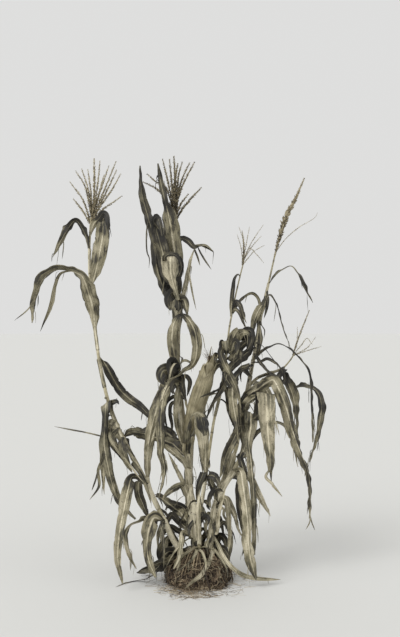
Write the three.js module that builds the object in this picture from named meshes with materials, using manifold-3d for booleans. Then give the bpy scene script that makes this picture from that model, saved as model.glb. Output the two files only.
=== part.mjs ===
// A maize plant of several stems from one root, lifted with its root ball and standing on it.
// Five stems end in tassels, one carries an ear in its husk, and the wilted leaves arch, fold and hang.
// Millimetres, +Z up, +X to the right, +Y away from the viewer. The origin is the middle of the root ball's foot.
import * as THREE from 'three';
import { mergeVertices } from 'three/addons/utils/BufferGeometryUtils.js';
import Module from 'manifold-3d';

const wasm = await Module();
wasm.setup();

// Driving dimensions
const eyeDistance = 3600;
const eyeHeight = 1066;
const clearance = 0.3;
const finestDetail = 0.05;
const rootBallRadius = 146;
const rootBallHeight = 128;
const braceRoots = 12;
const earLength = 330;
const earRadius = 32;
const bladeStep = 36; // longest stretch of blade between two cross-sections
const bladeGutter = 0.2; // how far a blade's edges stand above its midrib, per unit of half width
const bendRoom = 0.45; // how far a blade's edge may reach into a bend, per unit of the bend's radius
const leafThickness = 0.0105; // of the leaf's length, at the midrib
const thinnestMidrib = 2.6;
const strandThickness = 3;
const footOverlap = 2.5; // how deep a blade's foot starts in its stem, before it is cut to fit round it

const colours = {
  leaf: { color: 0x8d8f6a, roughness: 0.8, metalness: 0 },
  stem: { color: 0xb9b48a, roughness: 0.6, metalness: 0 },
  tassel: { color: 0xa08a5c, roughness: 0.9, metalness: 0 },
  husk: { color: 0xb8ad84, roughness: 0.75, metalness: 0 },
  rootBall: { color: 0x54453a, roughness: 1, metalness: 0 },
};

// A point is [across, height, depth]. Across and height are its true sizes on the upright plane through the root
// ball's centre, seen from an eye in front of the plant, and depth is how far it lies behind that plane.
// The point is carried along its line of sight to that depth.
function place([across, height, depth]) {
  const farther = 1 + depth / eyeDistance;
  return new THREE.Vector3(across * farther, depth, eyeHeight + (height - eyeHeight) * farther);
}

function bowed(way, { bow }) {
  return way.map(([across, height, depth]) => [across, height, depth + bow * (height / 1000) ** 2]);
}

function curveThrough(points) {
  const knots = points.map(([across, height, depth]) => new THREE.Vector3(across, height, depth));
  return new THREE.CatmullRomCurve3(knots, false, 'centripetal');
}

function smooth(low, high, value) {
  return THREE.MathUtils.smoothstep(value, low, high);
}

// Stems. Each way runs from inside the root ball to the tip; radii are at the foot, the middle and the tip.
// bow is how far the stem and all it bears have leant away from the viewer at a height of one metre.
const stems = {
  left: {
    radii: [11, 7.5, 4.4],
    bow: 70,
    way: [
      [-30, 70, -12], [-90, 134, -25], [-160, 273, -40], [-236, 431, -52], [-293, 537, -60], [-330, 611, -60],
      [-366, 704, -58], [-403, 855, -50], [-427, 1018, -40], [-446, 1180, -30], [-450, 1343, -20], [-444, 1473, -10],
    ],
  },
  middle: {
    radii: [18.5, 10, 4.2],
    bow: -20,
    way: [
      [-5, 70, 5], [-20, 183, 2], [-37, 326, -5], [-49, 476, -10], [-65, 611, -10], [-81, 753, -5],
      [-90, 916, 0], [-90, 1058, 0], [-98, 1180, -5], [-108, 1323, -8], [-106, 1425, -10], [-98, 1481, -10],
    ],
  },
  right: {
    radii: [13, 8.5, 3.2],
    bow: 45,
    way: [
      [35, 70, -18], [45, 163, -25], [57, 293, -40], [90, 370, -42], [147, 464, -30], [175, 529, -20],
      [183, 631, 0], [187, 733, 10], [204, 834, 10], [224, 936, 12], [240, 1038, 20], [265, 1148, 30],
      [289, 1254, 40], [309, 1343, 50],
    ],
  },
  slim: {
    radii: [8.5, 5.5, 2.6],
    bow: -30,
    way: [
      [-2, 70, -42], [-2, 183, -48], [4, 293, -50], [24, 427, -50], [41, 549, -40], [57, 651, -30],
      [81, 753, -20], [98, 855, -20], [110, 944, -10], [118, 1018, 0], [134, 1107, 10], [155, 1205, 20],
      [179, 1302, 30],
    ],
  },
  leaning: {
    radii: [12, 8, 2.8],
    bow: 30,
    way: [
      [38, 70, 34], [53, 183, 42], [69, 293, 52], [90, 391, 52], [122, 476, 45], [147, 537, 45],
      [163, 631, 52], [175, 712, 60], [195, 781, 60], [232, 822, 50], [281, 842, 30], [334, 862, 10],
      [366, 895, 0], [387, 928, -10],
    ],
  },
  short: {
    radii: [10, 8, 5.5],
    bow: 0,
    way: [[-45, 70, 30], [-85, 142, 40], [-134, 236, 45], [-179, 313, 40], [-210, 399, 30], [-216, 470, 20]],
  },
  rear: {
    radii: [11, 8, 5],
    bow: 0,
    way: [[0, 70, 58], [-25, 200, 95], [-42, 350, 135], [-38, 500, 170], [-20, 620, 200], [10, 725, 235]],
  },
};

// Leaves. foot is the height at which a leaf leaves its stem, turn how far its blade is turned there from facing the
// viewer, in degrees, and way its further points, each [across, height, depth, turn]. A strand is a torn strip that
// hangs from the blade. A leaf with small is part of its stem's own solid. taper is where it starts to narrow.
const leaves = {
  left_flag_leaf: {
    stem: 'left', foot: 1196, width: 62, turn: 30, taper: 0.6,
    way: [
      [-424, 1262, -40, 0], [-407, 1343, -48, 0], [-397, 1404, -50, 0], [-394, 1456, -45, 0], [-392, 1480, -22, 0],
      [-386, 1450, 8, 0],
    ],
  },
  left_hook_leaf: {
    stem: 'left', foot: 1352, width: 32, turn: 70,
    way: [[-474, 1425, -35, 72], [-505, 1464, -48, 78], [-545, 1420, -62, 62], [-601, 1313, -80, 50]],
  },
  left_long_leaf: {
    stem: 'left', foot: 1030, width: 58, turn: 10,
    way: [
      [-425, 1104, -75, 10], [-441, 1180, -110, 25], [-480, 1237, -135, 50], [-537, 1261, -150, 74],
      [-594, 1261, -160, 70], [-640, 1223, -165, 60], [-672, 1150, -165, 58], [-682, 1048, -160, 55],
    ],
    strands: [
      { width: 17, way: [[-525, 1260, -148, 70], [-566, 1250, -160, 55], [-592, 1200, -172, 45], [-607, 1127, -176, 40], [-650, 1013, -178, 40]] },
      { width: 5, way: [[-664, 1165, -165, 20], [-696, 1108, -168, 20], [-755, 1058, -170, 20]] },
    ],
  },
  slanting_leaf: {
    stem: 'left', foot: 908, width: 39, turn: 20,
    way: [
      [-383, 876, -34, 20], [-354, 822, -14, 10], [-326, 778, 2, 0], [-285, 737, 14, 0], [-244, 708, 16, 0],
      [-212, 676, 8, 0], [-171, 619, 0, 10],
    ],
  },
  left_torn_leaf: {
    stem: 'left', foot: 690, width: 50, turn: 0, taper: 0.75,
    way: [
      [-380, 724, -88, 0], [-384, 698, -110, 0], [-387, 640, -118, 48], [-389, 549, -120, 0], [-374, 464, -116, 35],
      [-354, 383, -110, 0], [-326, 317, -104, 20], [-262, 250, -108, 30],
    ],
    strands: [
      { width: 13, way: [[-391, 549, -120, 20], [-397, 500, -122, 20], [-415, 448, -122, 20], [-411, 385, -122, 20], [-449, 328, -122, 20]] },
      { width: 9, way: [[-413, 452, -122, 20], [-423, 410, -130, 20], [-440, 366, -134, 20]] },
      { width: 7, way: [[-385, 583, -119, 20], [-468, 602, -112, 20], [-545, 617, -105, 20], [-594, 627, -100, 20]] },
    ],
  },
  broad_left_leaf: {
    stem: 'short', foot: 425, width: 56, turn: 0, taper: 0.7,
    way: [
      [-214, 497, -26, 0], [-204, 590, -34, 0], [-179, 684, -34, 0], [-147, 761, -26, 0], [-124, 830, -28, 0],
      [-116, 872, -50, 0], [-126, 862, -82, 0], [-143, 808, -98, 0],
    ],
  },
  hanging_left_leaf: {
    stem: 'middle', foot: 775, width: 34, turn: 20,
    way: [
      [-106, 806, -74, 20], [-142, 758, -122, 10], [-158, 684, -138, 0], [-159, 602, -144, 10], [-156, 521, -142, 45],
      [-144, 448, -138, 25], [-155, 379, -134, 20], [-171, 330, -130, 20],
    ],
  },
  low_cross_leaf: {
    stem: 'middle', foot: 512, width: 52, turn: 20, taper: 0.7,
    way: [[-114, 556, 20, 10], [-171, 578, 30, 0], [-232, 592, 34, 0], [-291, 592, 36, 20]],
  },
  left_curl_leaf: {
    stem: 'left', foot: 606, width: 27, turn: 60, small: true,
    way: [[-346, 607, -28, 50], [-364, 580, -20, 20], [-352, 548, -16, 10], [-326, 515, -14, 10], [-297, 470, -14, 10]],
  },
  left_down_leaf: {
    stem: 'left', foot: 585, width: 30, turn: 10,
    way: [[-320, 560, -92, 10], [-311, 519, -98, 10], [-293, 470, -98, 15], [-276, 440, -94, 10]],
  },
  left_floor_leaf: {
    stem: 'left', foot: 396, width: 46, turn: 60, taper: 0.75,
    way: [
      [-252, 416, -84, 64], [-278, 420, -108, 60], [-298, 377, -134, 30], [-309, 317, -150, 0], [-321, 244, -160, 30],
      [-334, 163, -164, 10], [-338, 81, -166, 0], [-317, -12, -168, 10],
    ],
  },
  left_thin_leaf: {
    stem: 'left', foot: 264, width: 27, turn: 60,
    way: [
      [-187, 256, -62, 60], [-236, 242, -78, 62], [-281, 226, -90, 60], [-302, 190, -96, 45], [-297, 142, -98, 45],
      [-281, 94, -98, 50], [-260, 47, -98, 50],
    ],
  },
  left_dark_leaf: {
    stem: 'left', foot: 415, width: 38, turn: 0, small: true,
    way: [[-250, 396, -22, 0], [-248, 350, -10, 0], [-228, 300, -2, 0], [-208, 250, 0, 0]],
  },
  left_ragged_leaf: {
    stem: 'left', foot: 250, width: 50, turn: 0, taper: 0.8,
    way: [[-187, 254, -75, 0], [-208, 204, -104, 0], [-216, 142, -116, 0], [-208, 81, -120, 10], [-180, 12, -122, 20]],
  },
  low_arch_leaf: {
    stem: 'middle', foot: 330, width: 24, turn: 40, small: true,
    way: [[-70, 380, -60, 50], [-90, 388, -72, 55], [-118, 366, -80, 40], [-148, 332, -84, 30], [-172, 322, -86, 30]],
  },
  low_dark_leaf: {
    stem: 'middle', foot: 196, width: 44, turn: 20, taper: 0.7,
    way: [[-56, 256, -56, 30], [-84, 296, -72, 40], [-120, 310, -84, 50], [-146, 284, -92, 40], [-152, 240, -96, 30]],
  },
  crown_left_leaf: {
    stem: 'middle', foot: 1112, width: 50, turn: 20,
    way: [
      [-132, 1164, -2, 20], [-159, 1217, -18, 25], [-175, 1270, -42, 10], [-183, 1343, -46, 15], [-195, 1416, -46, 35],
      [-212, 1481, -40, 10], [-232, 1555, -35, 0], [-242, 1620, -30, 10], [-244, 1688, -30, 0],
    ],
  },
  crown_flag_leaf: {
    stem: 'middle', foot: 1226, width: 66, turn: 0,
    way: [
      [-100, 1290, -40, 0], [-110, 1372, -44, 0], [-122, 1457, -44, 10], [-138, 1530, -38, 30], [-157, 1608, -32, 10],
      [-171, 1697, -26, 0],
    ],
  },
  crown_apron_leaf: {
    stem: 'middle', foot: 1156, width: 62, turn: 0,
    way: [
      [-100, 1221, -72, 0], [-113, 1286, -98, 0], [-118, 1322, -124, 0], [-121, 1292, -150, 0], [-118, 1242, -160, 0],
      [-102, 1184, -162, 0], [-88, 1140, -162, 0],
    ],
  },
  crown_second_leaf: {
    stem: 'middle', foot: 1186, width: 56, turn: 0,
    way: [
      [-135, 1254, -66, 0], [-152, 1335, -84, 0], [-171, 1404, -90, 0], [-182, 1457, -96, 0], [-176, 1482, -112, 0],
      [-163, 1449, -132, 0], [-154, 1400, -138, 0],
    ],
  },
  crown_right_leaf: {
    stem: 'middle', foot: 1372, width: 26, turn: 30,
    way: [[-77, 1392, 8, 30], [-50, 1382, 8, 35], [-24, 1357, 2, 55], [0, 1363, -3, 65], [26, 1362, -8, 62], [54, 1338, -10, 55]],
    strands: [
      { width: 9, way: [[-10, 1361, 0, 40], [12, 1319, -14, 40], [46, 1265, -18, 40]] },
      { width: 9, way: [[-26, 1358, 2, 40], [-8, 1315, 2, 40], [0, 1281, 2, 40]] },
    ],
  },
  crown_pale_leaf: {
    stem: 'middle', foot: 1083, width: 20, turn: 20,
    way: [[-76, 1140, -24, 20], [-58, 1209, -34, 20], [-46, 1278, -40, 25], [-33, 1327, -38, 30], [-18, 1354, -30, 40]],
    strands: [{ width: 8, way: [[-47, 1272, -40, 30], [-40, 1229, -50, 30], [-28, 1160, -60, 30], [-15, 1100, -62, 30]] }],
  },
  loop_leaf: {
    stem: 'middle', foot: 856, width: 42, turn: 0, taper: 0.65,
    way: [
      [-104, 916, -34, 0], [-114, 985, -48, 0], [-106, 1046, -58, 30], [-77, 1082, -66, 74], [-45, 1060, -70, 40],
      [-20, 1009, -70, 10], [-12, 944, -66, 10], [-24, 887, -64, 30], [-65, 847, -74, 50], [-132, 808, -86, 50],
    ],
  },
  crown_flap_leaf: {
    stem: 'middle', foot: 1128, width: 26, turn: 20, small: true,
    way: [[-70, 1146, -14, 30], [-56, 1128, -20, 20], [-49, 1095, -22, 10], [-48, 1072, -22, 10]],
  },
  ear_back_leaf: {
    stem: 'slim', foot: 848, width: 30, turn: 20, small: true,
    way: [[81, 884, -4, 20], [58, 868, 6, 20], [34, 822, 12, 10], [12, 770, 16, 10]],
  },
  funnel_leaf: {
    stem: 'slim', foot: 436, width: 58, turn: 0, taper: 0.62,
    way: [
      [22, 497, -84, 0], [16, 570, -116, 0], [8, 631, -140, 0], [-2, 672, -160, 0], [-7, 655, -182, 0],
      [-8, 612, -190, 0], [-12, 566, -192, 0],
    ],
  },
  tangle_arch_leaf: {
    stem: 'slim', foot: 985, width: 42, turn: 30, taper: 0.7,
    way: [[137, 1016, -24, 35], [165, 1026, -38, 55], [194, 1012, -50, 60], [207, 974, -56, 30], [199, 926, -58, 15]],
  },
  tangle_cross_leaf: {
    stem: 'right', foot: 952, width: 44, turn: 40,
    way: [
      [187, 924, -28, 20], [147, 891, -54, 10], [114, 851, -74, 10], [94, 794, -82, 20], [56, 729, -86, 15],
      [24, 655, -88, 10],
    ],
  },
  tangle_thin_leaf: {
    stem: 'slim', foot: 768, width: 12, turn: 20, small: true,
    way: [[45, 755, 0, 20], [2, 737, 10, 20]],
  },
  tangle_curl_leaf: {
    stem: 'slim', foot: 872, width: 28, turn: 20, small: true,
    way: [[84, 916, -50, 20], [76, 960, -60, 30], [98, 978, -74, 50], [118, 946, -84, 20]],
  },
  tangle_hanging_leaf: {
    stem: 'right', foot: 836, width: 36, turn: 30,
    way: [
      [176, 852, -44, 40], [148, 830, -86, 20], [132, 773, -112, 0], [138, 700, -122, 0], [151, 631, -124, 10],
      [155, 568, -122, 10],
    ],
  },
  tangle_dark_leaf: {
    stem: 'slim', foot: 806, width: 24, turn: 10,
    way: [[108, 776, 8, 10], [119, 724, 22, 0], [127, 672, 28, 0], [142, 616, 30, 0]],
  },
  tangle_right_leaf: {
    stem: 'right', foot: 742, width: 25, turn: 20,
    way: [[167, 722, -30, 10], [165, 659, -44, 0], [171, 592, -48, 0], [178, 530, -48, 0]],
  },
  tangle_stub_leaf: {
    stem: 'right', foot: 864, width: 22, turn: 20, small: true,
    way: [[176, 860, 36, 20], [151, 836, 46, 20], [154, 800, 50, 20]],
  },
  right_top_leaf: {
    stem: 'right', foot: 1214, width: 29, turn: 76,
    way: [[322, 1255, 28, 80], [369, 1279, 12, 80], [394, 1256, 0, 66], [419, 1197, -10, 42], [459, 1130, -20, 38]],
  },
  right_loop_leaf: {
    stem: 'right', foot: 1085, width: 18, turn: 76, small: true,
    way: [[237, 1146, 12, 76], [213, 1168, 2, 78], [180, 1153, -12, 72], [142, 1102, -24, 60]],
  },
  slim_droop_leaf: {
    stem: 'slim', foot: 1098, width: 22, turn: 50, small: true,
    way: [[152, 1137, -30, 60], [170, 1128, -42, 50], [179, 1087, -48, 20], [191, 1048, -48, 10]],
  },
  slim_upright_leaf: {
    stem: 'slim', foot: 1078, width: 17, turn: 0, small: true,
    way: [[129, 1140, -8, 0], [134, 1190, -6, 0], [142, 1232, -4, 10], [155, 1246, -4, 50], [165, 1232, -6, 50]],
  },
  right_droop_leaf: {
    stem: 'right', foot: 1052, width: 22, turn: 40,
    way: [[260, 1107, -8, 40], [272, 1150, -20, 60], [285, 1162, -30, 74], [309, 1127, -42, 64], [334, 1038, -52, 60], [367, 950, -56, 60]],
  },
  right_arch_leaf: {
    stem: 'right', foot: 904, width: 28, turn: 40,
    way: [
      [269, 940, -30, 60], [317, 963, -52, 74], [362, 944, -68, 72], [407, 900, -82, 64], [441, 850, -92, 52],
      [450, 773, -98, 46], [455, 672, -102, 46], [459, 562, -104, 50],
    ],
  },
  far_right_leaf: {
    stem: 'leaning', foot: 848, width: 27, turn: 60,
    way: [
      [340, 802, 52, 66], [370, 786, 56, 72], [419, 788, 44, 76], [461, 782, 20, 66], [484, 757, 2, 30],
      [494, 708, -8, 10], [484, 631, -14, 20], [462, 545, -18, 40], [440, 462, -20, 50],
    ],
  },
  leaning_droop_leaf: {
    stem: 'leaning', foot: 866, width: 38, turn: 0,
    way: [[352, 842, -26, 0], [364, 814, -52, 10], [379, 768, -68, 20], [389, 706, -76, 40], [392, 645, -78, 50], [396, 582, -78, 50]],
  },
  long_right_leaf: {
    stem: 'right', foot: 706, width: 60, turn: 40,
    way: [
      [216, 757, -62, 45], [252, 790, -112, 52], [284, 804, -146, 60], [314, 766, -168, 30], [342, 698, -176, 10],
      [370, 619, -176, 20], [403, 533, -168, 40], [436, 458, -154, 46], [448, 379, -142, 40], [449, 254, -130, 30],
    ],
    strands: [
      { width: 5, way: [[449, 262, -131, 20], [446, 238, -130, 20], [430, 206, -130, 20]] },
      { width: 5, way: [[449, 262, -131, 20], [455, 238, -130, 20], [468, 204, -130, 20]] },
    ],
  },
  big_pale_leaf: {
    stem: 'right', foot: 664, width: 66, turn: 20, taper: 0.62,
    way: [
      [207, 714, -72, 10], [238, 748, -146, 0], [262, 760, -204, 0], [270, 733, -244, 0], [273, 651, -258, 0],
      [279, 570, -258, 0], [285, 497, -254, 10], [284, 440, -250, 20],
    ],
    strands: [{ width: 13, way: [[284, 452, -250, 20], [268, 422, -248, 30], [297, 391, -244, 40], [335, 341, -240, 40]] }],
  },
  middle_pale_leaf: {
    stem: 'right', foot: 622, width: 42, turn: 0, taper: 0.35,
    way: [
      [196, 672, -42, 0], [205, 684, -68, 0], [207, 631, -88, 0], [199, 558, -92, 30], [208, 480, -90, 30],
      [216, 387, -88, 10], [220, 277, -90, 0], [220, 183, -92, 0], [220, 104, -94, 0],
    ],
  },
  right_back_leaf: {
    stem: 'leaning', foot: 512, width: 21, turn: 50,
    way: [
      [170, 500, 72, 50], [200, 524, 82, 50], [211, 572, 84, 50], [252, 613, 80, 62], [305, 643, 72, 70],
      [342, 631, 62, 60], [370, 578, 54, 46], [387, 521, 48, 40], [399, 462, 44, 40],
    ],
  },
  right_floor_leaf: {
    stem: 'right', foot: 448, width: 42, turn: 0, taper: 0.8,
    way: [
      [163, 448, -72, 0], [175, 387, -104, 0], [186, 313, -120, 0], [195, 236, -126, 20], [198, 159, -130, 25],
      [206, 90, -132, 10], [229, 0, -134, 0],
    ],
  },
  right_dark_leaf: {
    stem: 'right', foot: 425, width: 32, turn: 20,
    way: [[155, 415, -6, 20], [159, 358, 8, 10], [163, 293, 14, 10], [175, 224, 16, 10], [186, 159, 14, 20], [171, 98, 12, 20]],
  },
  low_fork_leaf: {
    stem: 'right', foot: 300, width: 27, turn: 50,
    way: [[84, 329, -62, 56], [104, 334, -76, 64], [113, 293, -86, 30], [116, 230, -92, 10], [118, 166, -100, 10], [116, 118, -110, 10]],
  },
  low_fork_second_leaf: {
    stem: 'leaning', foot: 300, width: 23, turn: 60,
    way: [[90, 330, 26, 66], [110, 334, 4, 70], [129, 303, -16, 50], [143, 252, -30, 40], [158, 199, -42, 40], [176, 172, -54, 40]],
  },
  pale_back_leaf: {
    stem: 'leaning', foot: 440, width: 33, turn: 10,
    way: [[160, 438, 84, 10], [204, 418, 118, 10], [232, 362, 138, 10], [287, 262, 150, 10]],
  },
  sheath_leaf: {
    stem: 'leaning', foot: 522, width: 34, turn: 0, small: true,
    way: [[130, 498, 12, 0], [110, 435, 2, 0], [92, 385, 2, 0]],
  },
  low_crumpled_leaf: {
    stem: 'right', foot: 330, width: 30, turn: 10, small: true,
    way: [[54, 374, -72, 10], [42, 415, -88, 30], [62, 428, -98, 50], [82, 398, -104, 20]],
  },
  slim_dark_leaf: {
    stem: 'slim', foot: 418, width: 22, turn: 10, small: true,
    way: [[4, 402, -82, 20], [-8, 366, -92, 10], [-12, 314, -94, 10]],
  },
  rear_hanging_leaf: {
    stem: 'rear', foot: 585, width: 42, turn: 0,
    way: [[-32, 650, 250, 0], [-34, 664, 310, 0], [-42, 600, 372, 0], [-46, 470, 404, 0], [-48, 330, 410, 0], [-44, 205, 404, 10]],
  },
  rear_arching_leaf: {
    stem: 'rear', foot: 716, width: 44, turn: 20,
    way: [[40, 788, 276, 20], [88, 828, 334, 20], [130, 800, 394, 20], [150, 700, 430, 10], [155, 570, 438, 0], [150, 430, 430, 0]],
  },
  rear_left_leaf: {
    stem: 'short', foot: 462, width: 40, turn: 0,
    way: [[-214, 560, 96, 0], [-210, 632, 160, 0], [-200, 640, 226, 0], [-190, 548, 284, 0], [-194, 410, 304, 0], [-200, 262, 300, 10]],
  },
  rear_top_leaf: {
    stem: 'middle', foot: 1010, width: 38, turn: 0,
    way: [[-84, 1096, 56, 0], [-92, 1176, 112, 0], [-108, 1196, 172, 0], [-124, 1118, 222, 0], [-130, 1000, 236, 0]],
  },
  rear_right_leaf: {
    stem: 'leaning', foot: 806, width: 38, turn: 20,
    way: [[255, 872, 110, 30], [290, 888, 172, 30], [330, 830, 228, 20], [350, 720, 258, 10], [355, 585, 262, 10]],
  },
  rear_low_leaf: {
    stem: 'left', foot: 505, width: 36, turn: 20,
    way: [[-318, 590, 10, 20], [-350, 636, 70, 20], [-384, 604, 132, 20], [-394, 480, 172, 10], [-390, 350, 182, 0]],
  },
};

// Tassels. Each spike runs on from its stem's tip; a branch leaves it at the given share of its length and is
// described by its middle and its tip.
const tassels = {
  left_tassel: {
    stem: 'left', radius: 3.4, spike: [[-436, 1600, -10], [-431, 1718, -14]],
    branches: [
      [0.3, [-472, 1551, 0], [-530, 1621, 18]], [0.34, [-460, 1579, -34], [-506, 1674, -60]],
      [0.4, [-452, 1580, 16], [-479, 1676, 50]], [0.44, [-421, 1600, -30], [-411, 1710, -52]],
      [0.34, [-405, 1590, 20], [-373, 1690, 46]], [0.3, [-392, 1588, -8], [-343, 1706, -20]],
      [0.24, [-386, 1562, -26], [-342, 1666, -66]], [0.2, [-374, 1547, 26], [-324, 1645, 60]],
      [0.14, [-384, 1520, 8], [-322, 1563, 20]], [0.08, [-474, 1506, -20], [-514, 1548, -44]],
    ],
  },
  middle_tassel: {
    stem: 'middle', radius: 3.6, spike: [[-100, 1600, -4], [-106, 1722, -6]],
    branches: [
      [0.36, [-128, 1608, 22], [-152, 1710, 44]], [0.42, [-114, 1610, -30], [-122, 1714, -54]],
      [0.4, [-88, 1612, 20], [-71, 1698, 46]], [0.34, [-76, 1600, -24], [-45, 1690, -52]],
      [0.3, [-64, 1594, 10], [-28, 1690, 26]], [0.26, [-160, 1606, 40], [-216, 1657, 66]],
      [0.2, [-158, 1578, 34], [-229, 1621, 56]], [0.14, [-73, 1528, -18], [-45, 1572, -36]],
      [0.1, [-38, 1554, 8], [4, 1596, 18]], [0.5, [-96, 1640, 30], [-88, 1704, 62]],
    ],
  },
  right_tassel: {
    stem: 'right', radius: 4.2, spike: [[330, 1425, 54], [366, 1526, 60], [424, 1634, 66]],
    branches: [[0.04, [396, 1434, 40], [477, 1496, 30]]],
  },
  slim_tassel: {
    stem: 'slim', radius: 2.4, spike: [[179, 1360, 30], [172, 1420, 34]],
    branches: [
      [0.3, [160, 1372, 10], [152, 1406, -6]], [0.2, [200, 1372, 50], [198, 1424, 66]],
      [0.3, [216, 1388, 20], [257, 1447, 10]], [0.2, [214, 1372, 44], [249, 1402, 60]],
      [0.1, [216, 1330, 24], [262, 1360, 14]], [0.44, [214, 1344, 12], [257, 1297, -4]],
      [0.6, [164, 1400, 50], [156, 1438, 70]],
    ],
  },
  leaning_tassel: {
    stem: 'leaning', radius: 2.4, spike: [[400, 985, -14], [444, 1097, -20]],
    branches: [
      [0.2, [393, 985, -30], [396, 1028, -44]], [0.06, [438, 944, -24], [470, 988, -34]],
      [0.04, [444, 934, 6], [493, 953, 20]], [0.12, [424, 968, 14], [446, 952, 30]],
    ],
  },
};

// Straps that spring from the root crown and lie over the root ball, each with its width.
const crownStraps = [
  {
    width: 19,
    way: [
      [40, 98, -40], [74, 108, -64], [112, 74, -96], [151, 34, -100], [204, 14, -86], [265, 2, -72], [327, -4, -62],
    ],
  },
  { width: 17, way: [[30, 96, -40], [45, 114, -66], [38, 74, -112], [10, 34, -140], [-34, 12, -152]] },
  { width: 15, way: [[0, 96, -40], [-10, 124, -50], [-46, 112, -78], [-88, 82, -94], [-106, 46, -110]] },
  { width: 15, way: [[-44, 84, -36], [-66, 122, -58], [-80, 88, -92], [-90, 40, -118]] },
];

function solidOf(geometry) {
  const bare = geometry.index ? geometry.toNonIndexed() : geometry.clone();
  const points = new THREE.BufferGeometry().setAttribute('position', bare.getAttribute('position'));
  const merged = mergeVertices(points, 1e-3);
  const triVerts = new Uint32Array(merged.index.array);
  const build = () => new wasm.Manifold(
    new wasm.Mesh({ numProp: 3, vertProperties: merged.attributes.position.array, triVerts }),
  );
  const made = build();
  if (made.volume() > 0) return made;
  for (let i = 0; i < triVerts.length; i += 3) {
    [triVerts[i + 1], triVerts[i + 2]] = [triVerts[i + 2], triVerts[i + 1]];
  }
  return build();
}

// A closed skin over rings of points that all run the same way round. Its diagonals alternate, so that both faces of
// a twisted blade fold along the same lines and never cross.
function loft(rings) {
  const count = rings[0].length;
  const last = (rings.length - 1) * count;
  const index = [];
  for (let start = 0; start < last; start += count) {
    for (let j = 0; j < count; j += 1) {
      const a = start + j;
      const b = start + ((j + 1) % count);
      if (j % 2) index.push(a, b, a + count, b, b + count, a + count);
      else index.push(a, b, b + count, a, b + count, a + count);
    }
  }
  for (let j = 1; j + 1 < count; j += 1) {
    index.push(0, j + 1, j, last, last + j, last + j + 1);
  }
  const position = rings.flat().flatMap((point) => point.toArray());
  return new THREE.BufferGeometry()
    .setAttribute('position', new THREE.Float32BufferAttribute(position, 3))
    .setIndex(index);
}

// Points along a way with a frame carried along it: `edge` starts as near to the line of sight as it can be,
// and `face` lies across both. turns are the way's own turns in degrees, eased from one point to the next.
function framesAlong(way, steps, turns) {
  const curve = curveThrough(way);
  const frames = [];
  for (let i = 0; i <= steps; i += 1) {
    const t = curve.getUtoTmapping(i / steps);
    const at = curve.getPoint(t);
    frames.push({ t, share: i / steps, point: place([at.x, at.y, at.z]) });
  }
  let edge = new THREE.Vector3(0, 1, 0);
  frames.forEach((frame, i) => {
    const before = frames[Math.max(i - 1, 0)].point;
    const after = frames[Math.min(i + 1, steps)].point;
    frame.along = after.clone().sub(before).normalize();
    edge = edge.clone().addScaledVector(frame.along, -edge.dot(frame.along)).normalize();
    frame.edge = edge;
    frame.face = frame.along.clone().cross(edge);
    if (!turns) return;
    const spot = frame.t * (turns.length - 1);
    const low = Math.min(Math.floor(spot), turns.length - 2);
    const turn = THREE.MathUtils.degToRad(THREE.MathUtils.lerp(turns[low], turns[low + 1], smooth(0, 1, spot - low)));
    frame.wide = frame.face.clone().multiplyScalar(Math.cos(turn)).addScaledVector(edge, Math.sin(turn));
    frame.up = frame.along.clone().cross(frame.wide);
  });
  return frames;
}

function lengthOf(way) {
  return curveThrough(way).getLength();
}

function radiusAt({ radii: [foot, middle, tip] }, share) {
  return share < 0.5 ? THREE.MathUtils.lerp(foot, middle, share * 2) : THREE.MathUtils.lerp(middle, tip, share * 2 - 1);
}

function rod(way, radius, sides, steps) {
  const rings = framesAlong(way, steps).map((frame) => {
    const r = radius(frame.share);
    return Array.from({ length: sides }, (_, j) => {
      const angle = (j / sides) * Math.PI * 2;
      return frame.point.clone()
        .addScaledVector(frame.face, Math.cos(angle) * r)
        .addScaledVector(frame.edge, Math.sin(angle) * r);
    });
  });
  return solidOf(loft(rings));
}

// A blade's width as a share of its widest, narrow at the collar and drawn out to a point.
function bladeOutline(share, taper) {
  const collar = 0.5 + 0.5 * smooth(0, 0.2, share);
  const drawn = share < taper ? 1 : Math.cos(((share - taper) / (1 - taper)) * Math.PI / 2) ** 0.8;
  return collar * Math.max(drawn, 0.05);
}

// A leaf bends only across its width: turns each cross-section out of its blade's bends, so that no two cross.
function easeBends(frames, halfAt) {
  const last = frames.length - 1;
  const bends = frames.map((frame, i) => {
    const before = frames[Math.max(i - 1, 0)];
    const after = frames[Math.min(i + 1, last)];
    const bend = after.along.clone().sub(before.along).divideScalar(after.point.distanceTo(before.point));
    return bend.addScaledVector(frame.along, -bend.dot(frame.along));
  });
  frames.forEach((frame, i) => {
    const bend = bends[i];
    const sharpest = Math.max(bend.length(), 1e-6);
    const inward = bend.clone().divideScalar(sharpest);
    const beside = frame.along.clone().cross(inward);
    const room = Math.min(1, bendRoom / (halfAt(frame.share) * sharpest));
    const reach = frame.wide.dot(inward);
    if (Math.abs(reach) > room) {
      const rest = Math.sqrt(1 - room * room) * (frame.wide.dot(beside) < 0 ? -1 : 1);
      frame.wide = inward.multiplyScalar(Math.sign(reach) * room).addScaledVector(beside, rest);
      frame.up = frame.along.clone().cross(frame.wide);
    }
  });
}

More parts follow.
